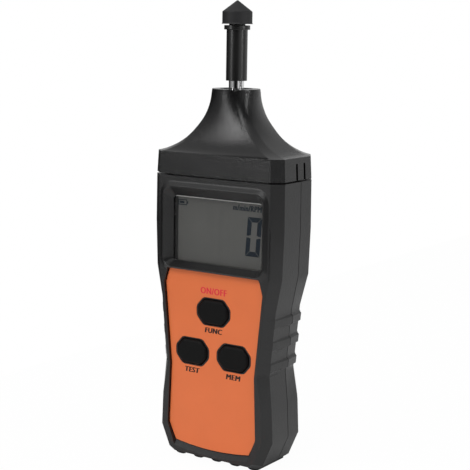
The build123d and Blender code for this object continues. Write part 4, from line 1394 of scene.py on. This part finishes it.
@dataclass
class BatteryBay:
    """Battery with its coloured band and snap terminals, its clip and the two leads."""

    band_high: float = 11.0 * MM
    clip_gap: float = 2.2 * MM
    hair: float = 0.001 * MM
    slack: float = 0.1 * MM
    margin: float = 1.0 * MM
    leads_reach: float = 20.0 * MM
    leads_top: float = 0.2

    def pieces(self) -> list[Piece]:
        """Build the battery, the clip and the leads.

        Returns:
            The pieces.
        """
        low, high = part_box("battery")
        body_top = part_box("battery_clip")[0].z - self.clip_gap
        band_low = body_top - self.band_high
        hair, slack, margin = (Vector((far,) * 3) for far in (self.hair, self.slack, self.margin))
        band = Accent(
            "battery_band", Vector((low.x, low.y, band_low)) - hair,
            Vector((high.x, high.y, body_top)) + slack)
        snaps = Accent("can_metal", Vector((low.x, low.y, body_top + self.slack)), high + margin)
        black = Accent(
            "lead_black", Vector((-self.leads_reach, low.y - self.leads_reach, 0.0)),
            Vector((0.0, high.y + self.margin, self.leads_top)))
        cell = softened(
            "battery_cell", "battery", "housing", "battery_jacket",
            EdgeRule(width=0.35, shortest=1.0), accents=(band, snaps))
        self.cut_across(cell.mesh, band_low)
        return [
            cell,
            softened(
                "battery_clip_moulding", "battery_clip", "housing", "inner_plastic", EdgeRule(width=0.4)),
            softened(
                "battery_lead_pair", "battery_leads", "housing", "lead_pvc", turn=50, accents=(black,)),
        ]

    @staticmethod
    def cut_across(mesh: bpy.types.Mesh, height: float) -> None:
        """Split the faces of a mesh along a level plane, so that a band can start there.

        Args:
            mesh: the mesh to split.
            height: Z of the plane.
        """
        with edited(mesh) as shape:
            bmesh.ops.bisect_plane(
                shape, geom=shape.verts[:] + shape.edges[:] + shape.faces[:], dist=1e-7,
                plane_co=(0, 0, height), plane_no=(0, 0, 1))


@dataclass
class ContactAdapter:
    """The pull-off shell with its flare and snap slots; lengths in mm."""

    flare_edge: float = 0.3
    flare_low: Triple = (-40.0, -16.0, 116.0)
    flare_high: Triple = (40.0, 16.0, 126.0)
    neck_edge: float = 0.25
    neck_low: Triple = (-12.0, -12.0, 150.0)
    neck_high: Triple = (12.0, 12.0, 151.0)

    def pieces(self) -> list[Piece]:
        """Build the shell alone; its bearings keep their CAD meshes.

        Returns:
            The pieces.
        """
        return [softened(
            "adapter_shell_moulding", "adapter_shell", "adapter", "adapter_plastic",
            EdgeRule(self.flare_edge, self.flare_low, self.flare_high, turn=20, shortest=1.0),
            EdgeRule(self.neck_edge, self.neck_low, self.neck_high), turn=24)]


@dataclass
class Spindle:
    """Shaft, tip holder and the rubber tip, whose radius follows a rule; the broken edge is in mm."""

    palette: Palette
    edge: float = 0.15
    sides: int = 96
    levels: int = 90
    lip_high: float = 0.5 * MM
    lip_wide: float = 0.2 * MM
    cone_high: float = 4.5 * MM
    point: float = 0.25 * MM
    blend: float = 0.35 * MM
    hard_turn: float = 40.0

    def tip(self) -> bpy.types.Mesh:
        """Draw in the points of a cylinder: a lip, a straight skirt and a cone.

        Returns:
            The tip's mesh, in place.
        """
        low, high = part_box("contact_tip")
        graph = GeometryGraph("contact_tip")
        radius = graph.input("Radius", "Float", (high.x - low.x) / 2 - self.lip_wide)
        height = graph.input("Height", "Float", high.z - low.z)
        foot = graph.input("Foot", "Float", low.z)
        cone = graph.input("Cone height", "Float", self.cone_high)
        lip = graph.input("Lip width", "Float", self.lip_wide)
        finish = graph.input("Finish", "Material", self.palette.material("tip_rubber"))
        blank = graph.node("GeometryNodeMeshCylinder", None, {
            "Vertices": self.sides, "Side Segments": self.levels, "Radius": 1.0, "Depth": height})
        place = graph.node("ShaderNodeSeparateXYZ", None, {
            0: graph.node("GeometryNodeInputPosition").outputs[0]})
        across, back, up = (Value(graph, output) for output in place.outputs)
        rise = up + height * 0.5
        tapered = radius * (height - rise) / cone + self.point
        skirt = radius + (1 - rise.smooth(0.0, self.lip_high)) * lip
        profile = skirt.math("SMOOTH_MIN", tapered, self.blend)
        moved = graph.node("ShaderNodeCombineXYZ", None, {
            0: across * profile, 1: back * profile, 2: rise + foot})
        turned = graph.node("GeometryNodeSetPosition", None, {
            "Geometry": blank.outputs["Mesh"], "Position": moved.outputs[0]})
        mesh = graph.mesh(turned.outputs[0], finish)
        with edited(mesh) as shape:
            smooth_faces(shape, self.hard_turn)
        return mesh

    def pieces(self) -> list[Piece]:
        """Build the turned pieces with broken edges, and the tip.

        Returns:
            The pieces.
        """
        broken = EdgeRule(self.edge)
        return [
            softened("drive_shaft_ground", "drive_shaft", "spindle", "shaft_steel", broken),
            softened("tip_holder_turned", "tip_holder", "spindle", "holder_plastic", broken),
            Piece("contact_tip_rubber", self.tip(), "spindle", "tip_rubber", ("contact_tip",)),
        ]


@dataclass(frozen=True)
class Softbox:
    """A soft panel of light that faces the object: angles in degrees, lengths in metres."""

    name: str
    heading: float
    height: float
    distance: float
    width: float
    tall: float
    glow: float

    def build(self, target: Vector) -> None:
        """Hang the panel and turn it to a target.

        Args:
            target: what it lights.
        """
        heading, height = math.radians(self.heading), math.radians(self.height)
        level = math.cos(height)
        out = Vector((math.sin(heading) * level, -math.cos(heading) * level, math.sin(height)))
        lamp = bpy.data.lights.new(self.name, "AREA")
        lamp.shape = "RECTANGLE"
        lamp.size, lamp.size_y = self.width, self.tall
        lamp.energy = self.glow * self.width * self.tall * math.pi
        panel = add_object(self.name, lamp)
        panel.location = target + out * self.distance
        panel.rotation_mode = "QUATERNION"
        panel.rotation_quaternion = out.to_track_quat("Z", "Y")


@dataclass(frozen=True)
class Lobe:
    """A patch of the room: its direction, the dot products where it starts and is full, and its light."""

    toward: Triple
    start: float
    full: float
    glow: float

    def strength(self, graph: Graph, direction: bpy.types.NodeSocket) -> Value:
        """Work out how strongly the patch shines from a direction.

        Args:
            graph: the world's tree.
            direction: the direction's vector.

        Returns:
            The strength.
        """
        values = {0: direction, 1: self.toward}
        facing = graph.node("ShaderNodeVectorMath", {"operation": "DOT_PRODUCT"}, values)
        return Value(graph, facing.outputs["Value"]).smooth(self.start, self.full) * self.glow


@dataclass
class Studio:
    """Camera, pale floor, world and softboxes."""

    camera_place: Triple = (0.289934, -0.430197, 0.176684)
    heading: float = 33.939
    tilt: float = 9.289
    roll: float = 0.868
    lens: float = 100.41
    floor_low: Pair = (-0.16, -0.28)
    floor_high: Pair = (1.2, 2.2)
    softboxes: tuple[Softbox, ...] = (
        Softbox("front_left_panel", -26, 13, 1.3, width=0.22, tall=0.45, glow=9.5),
        Softbox("upper_left_panel", -32, 28, 1.3, width=0.18, tall=0.3, glow=3.0),
        Softbox("right_strip", 95, 18, 1.2, width=0.28, tall=0.7, glow=5.6),
        Softbox("high_front_panel", 16, 46, 1.2, width=0.9, tall=0.6, glow=3.5),
    )
    lobes: tuple[Lobe, ...] = (
        Lobe((0.34, 0.94, 0.0), 0.6, 1.0, glow=0.75),  # the wall behind the object
        Lobe((-0.6, -0.8, 0.0), 0.75, 0.98, glow=0.3),  # the left front
        Lobe((-0.3, 0.0, 0.95), 0.35, 0.85, glow=0.75),  # the ceiling
        Lobe((0.88, -0.47, -0.05), 0.88, 1.0, glow=0.7),  # the right side
        Lobe((-0.54, 0.81, 0.22), 0.955, 0.995, glow=0.8),  # the far left corner
    )
    dim: float = 0.03
    shade_up: float = 0.05
    shade_start: float = 0.88
    shade_full: float = 0.97
    shade: float = 0.9

    def build(self) -> None:
        """Set up everything round the object."""
        scene = bpy.context.scene
        scene.view_settings.view_transform = "Standard"
        camera = bpy.data.cameras.new("camera")
        camera.sensor_width = 36.0
        camera.lens = self.lens
        camera.clip_start, camera.clip_end = 0.01, 20.0
        viewer = add_object("camera", camera)
        turn = Matrix.Rotation(math.radians(self.heading), 4, "Z")
        dip = Matrix.Rotation(math.radians(90 - self.tilt), 4, "X")
        lean = Matrix.Rotation(math.radians(self.roll), 4, "Z")
        viewer.matrix_world = Matrix.Translation(self.camera_place) @ turn @ dip @ lean
        scene.camera = viewer
        target = (cad_low + cad_high) / 2
        for softbox in self.softboxes:
            softbox.build(target)
        self.build_floor()
        self.build_world()

    def build_floor(self) -> None:
        """Lay a pale floor round the object."""
        (left, front), (right, back) = self.floor_low, self.floor_high
        corners = [(left, front, 0.0), (right, front, 0.0), (right, back, 0.0), (left, back, 0.0)]
        mesh = bpy.data.meshes.new("floor")
        mesh.from_pydata(corners, [], [(0, 1, 2, 3)])
        mesh.materials.append(FloorPaper().material("pale_floor"))
        add_object("floor", mesh)

    def build_world(self) -> None:
        """Show white to the camera, and light the object by a room that is dark round the camera."""
        world = bpy.data.worlds.new("studio")
        bpy.context.scene.world = world
        world.use_nodes = True
        graph = Graph(world.node_tree)
        direction = graph.node("ShaderNodeTexCoord").outputs["Generated"]
        first, *others = (lobe.strength(graph, direction) for lobe in self.lobes)
        room = sum(others, start=first) + self.dim
        heading = math.radians(self.heading)
        camera_side = (math.sin(heading), -math.cos(heading), self.shade_up)
        dark = Lobe(camera_side, self.shade_start, self.shade_full, self.shade).strength(graph, direction)
        seen = graph.camera_ray()
        strength = seen + (1 - seen) * (room * (1 - dark))
        background = graph.node("ShaderNodeBackground", None, {"Color": WHITE, "Strength": strength})
        graph.node("ShaderNodeOutputWorld", None, {"Surface": background.outputs[0]})


def main() -> None:
    """Build the studio, then each sub-assembly in turn."""
    logging.basicConfig(level=logging.INFO, format="%(name)s %(message)s")
    Studio().build()
    palette = Palette()
    palette.dress_frame()
    assemblies = (
        CaseShells(), KeyPanel(), Display(), Electronics(palette), BatteryBay(), ContactAdapter(),
        Spindle(palette))
    for assembly in assemblies:
        for piece in assembly.pieces():
            piece.place(palette)


if __name__ == "__main__":
    main()
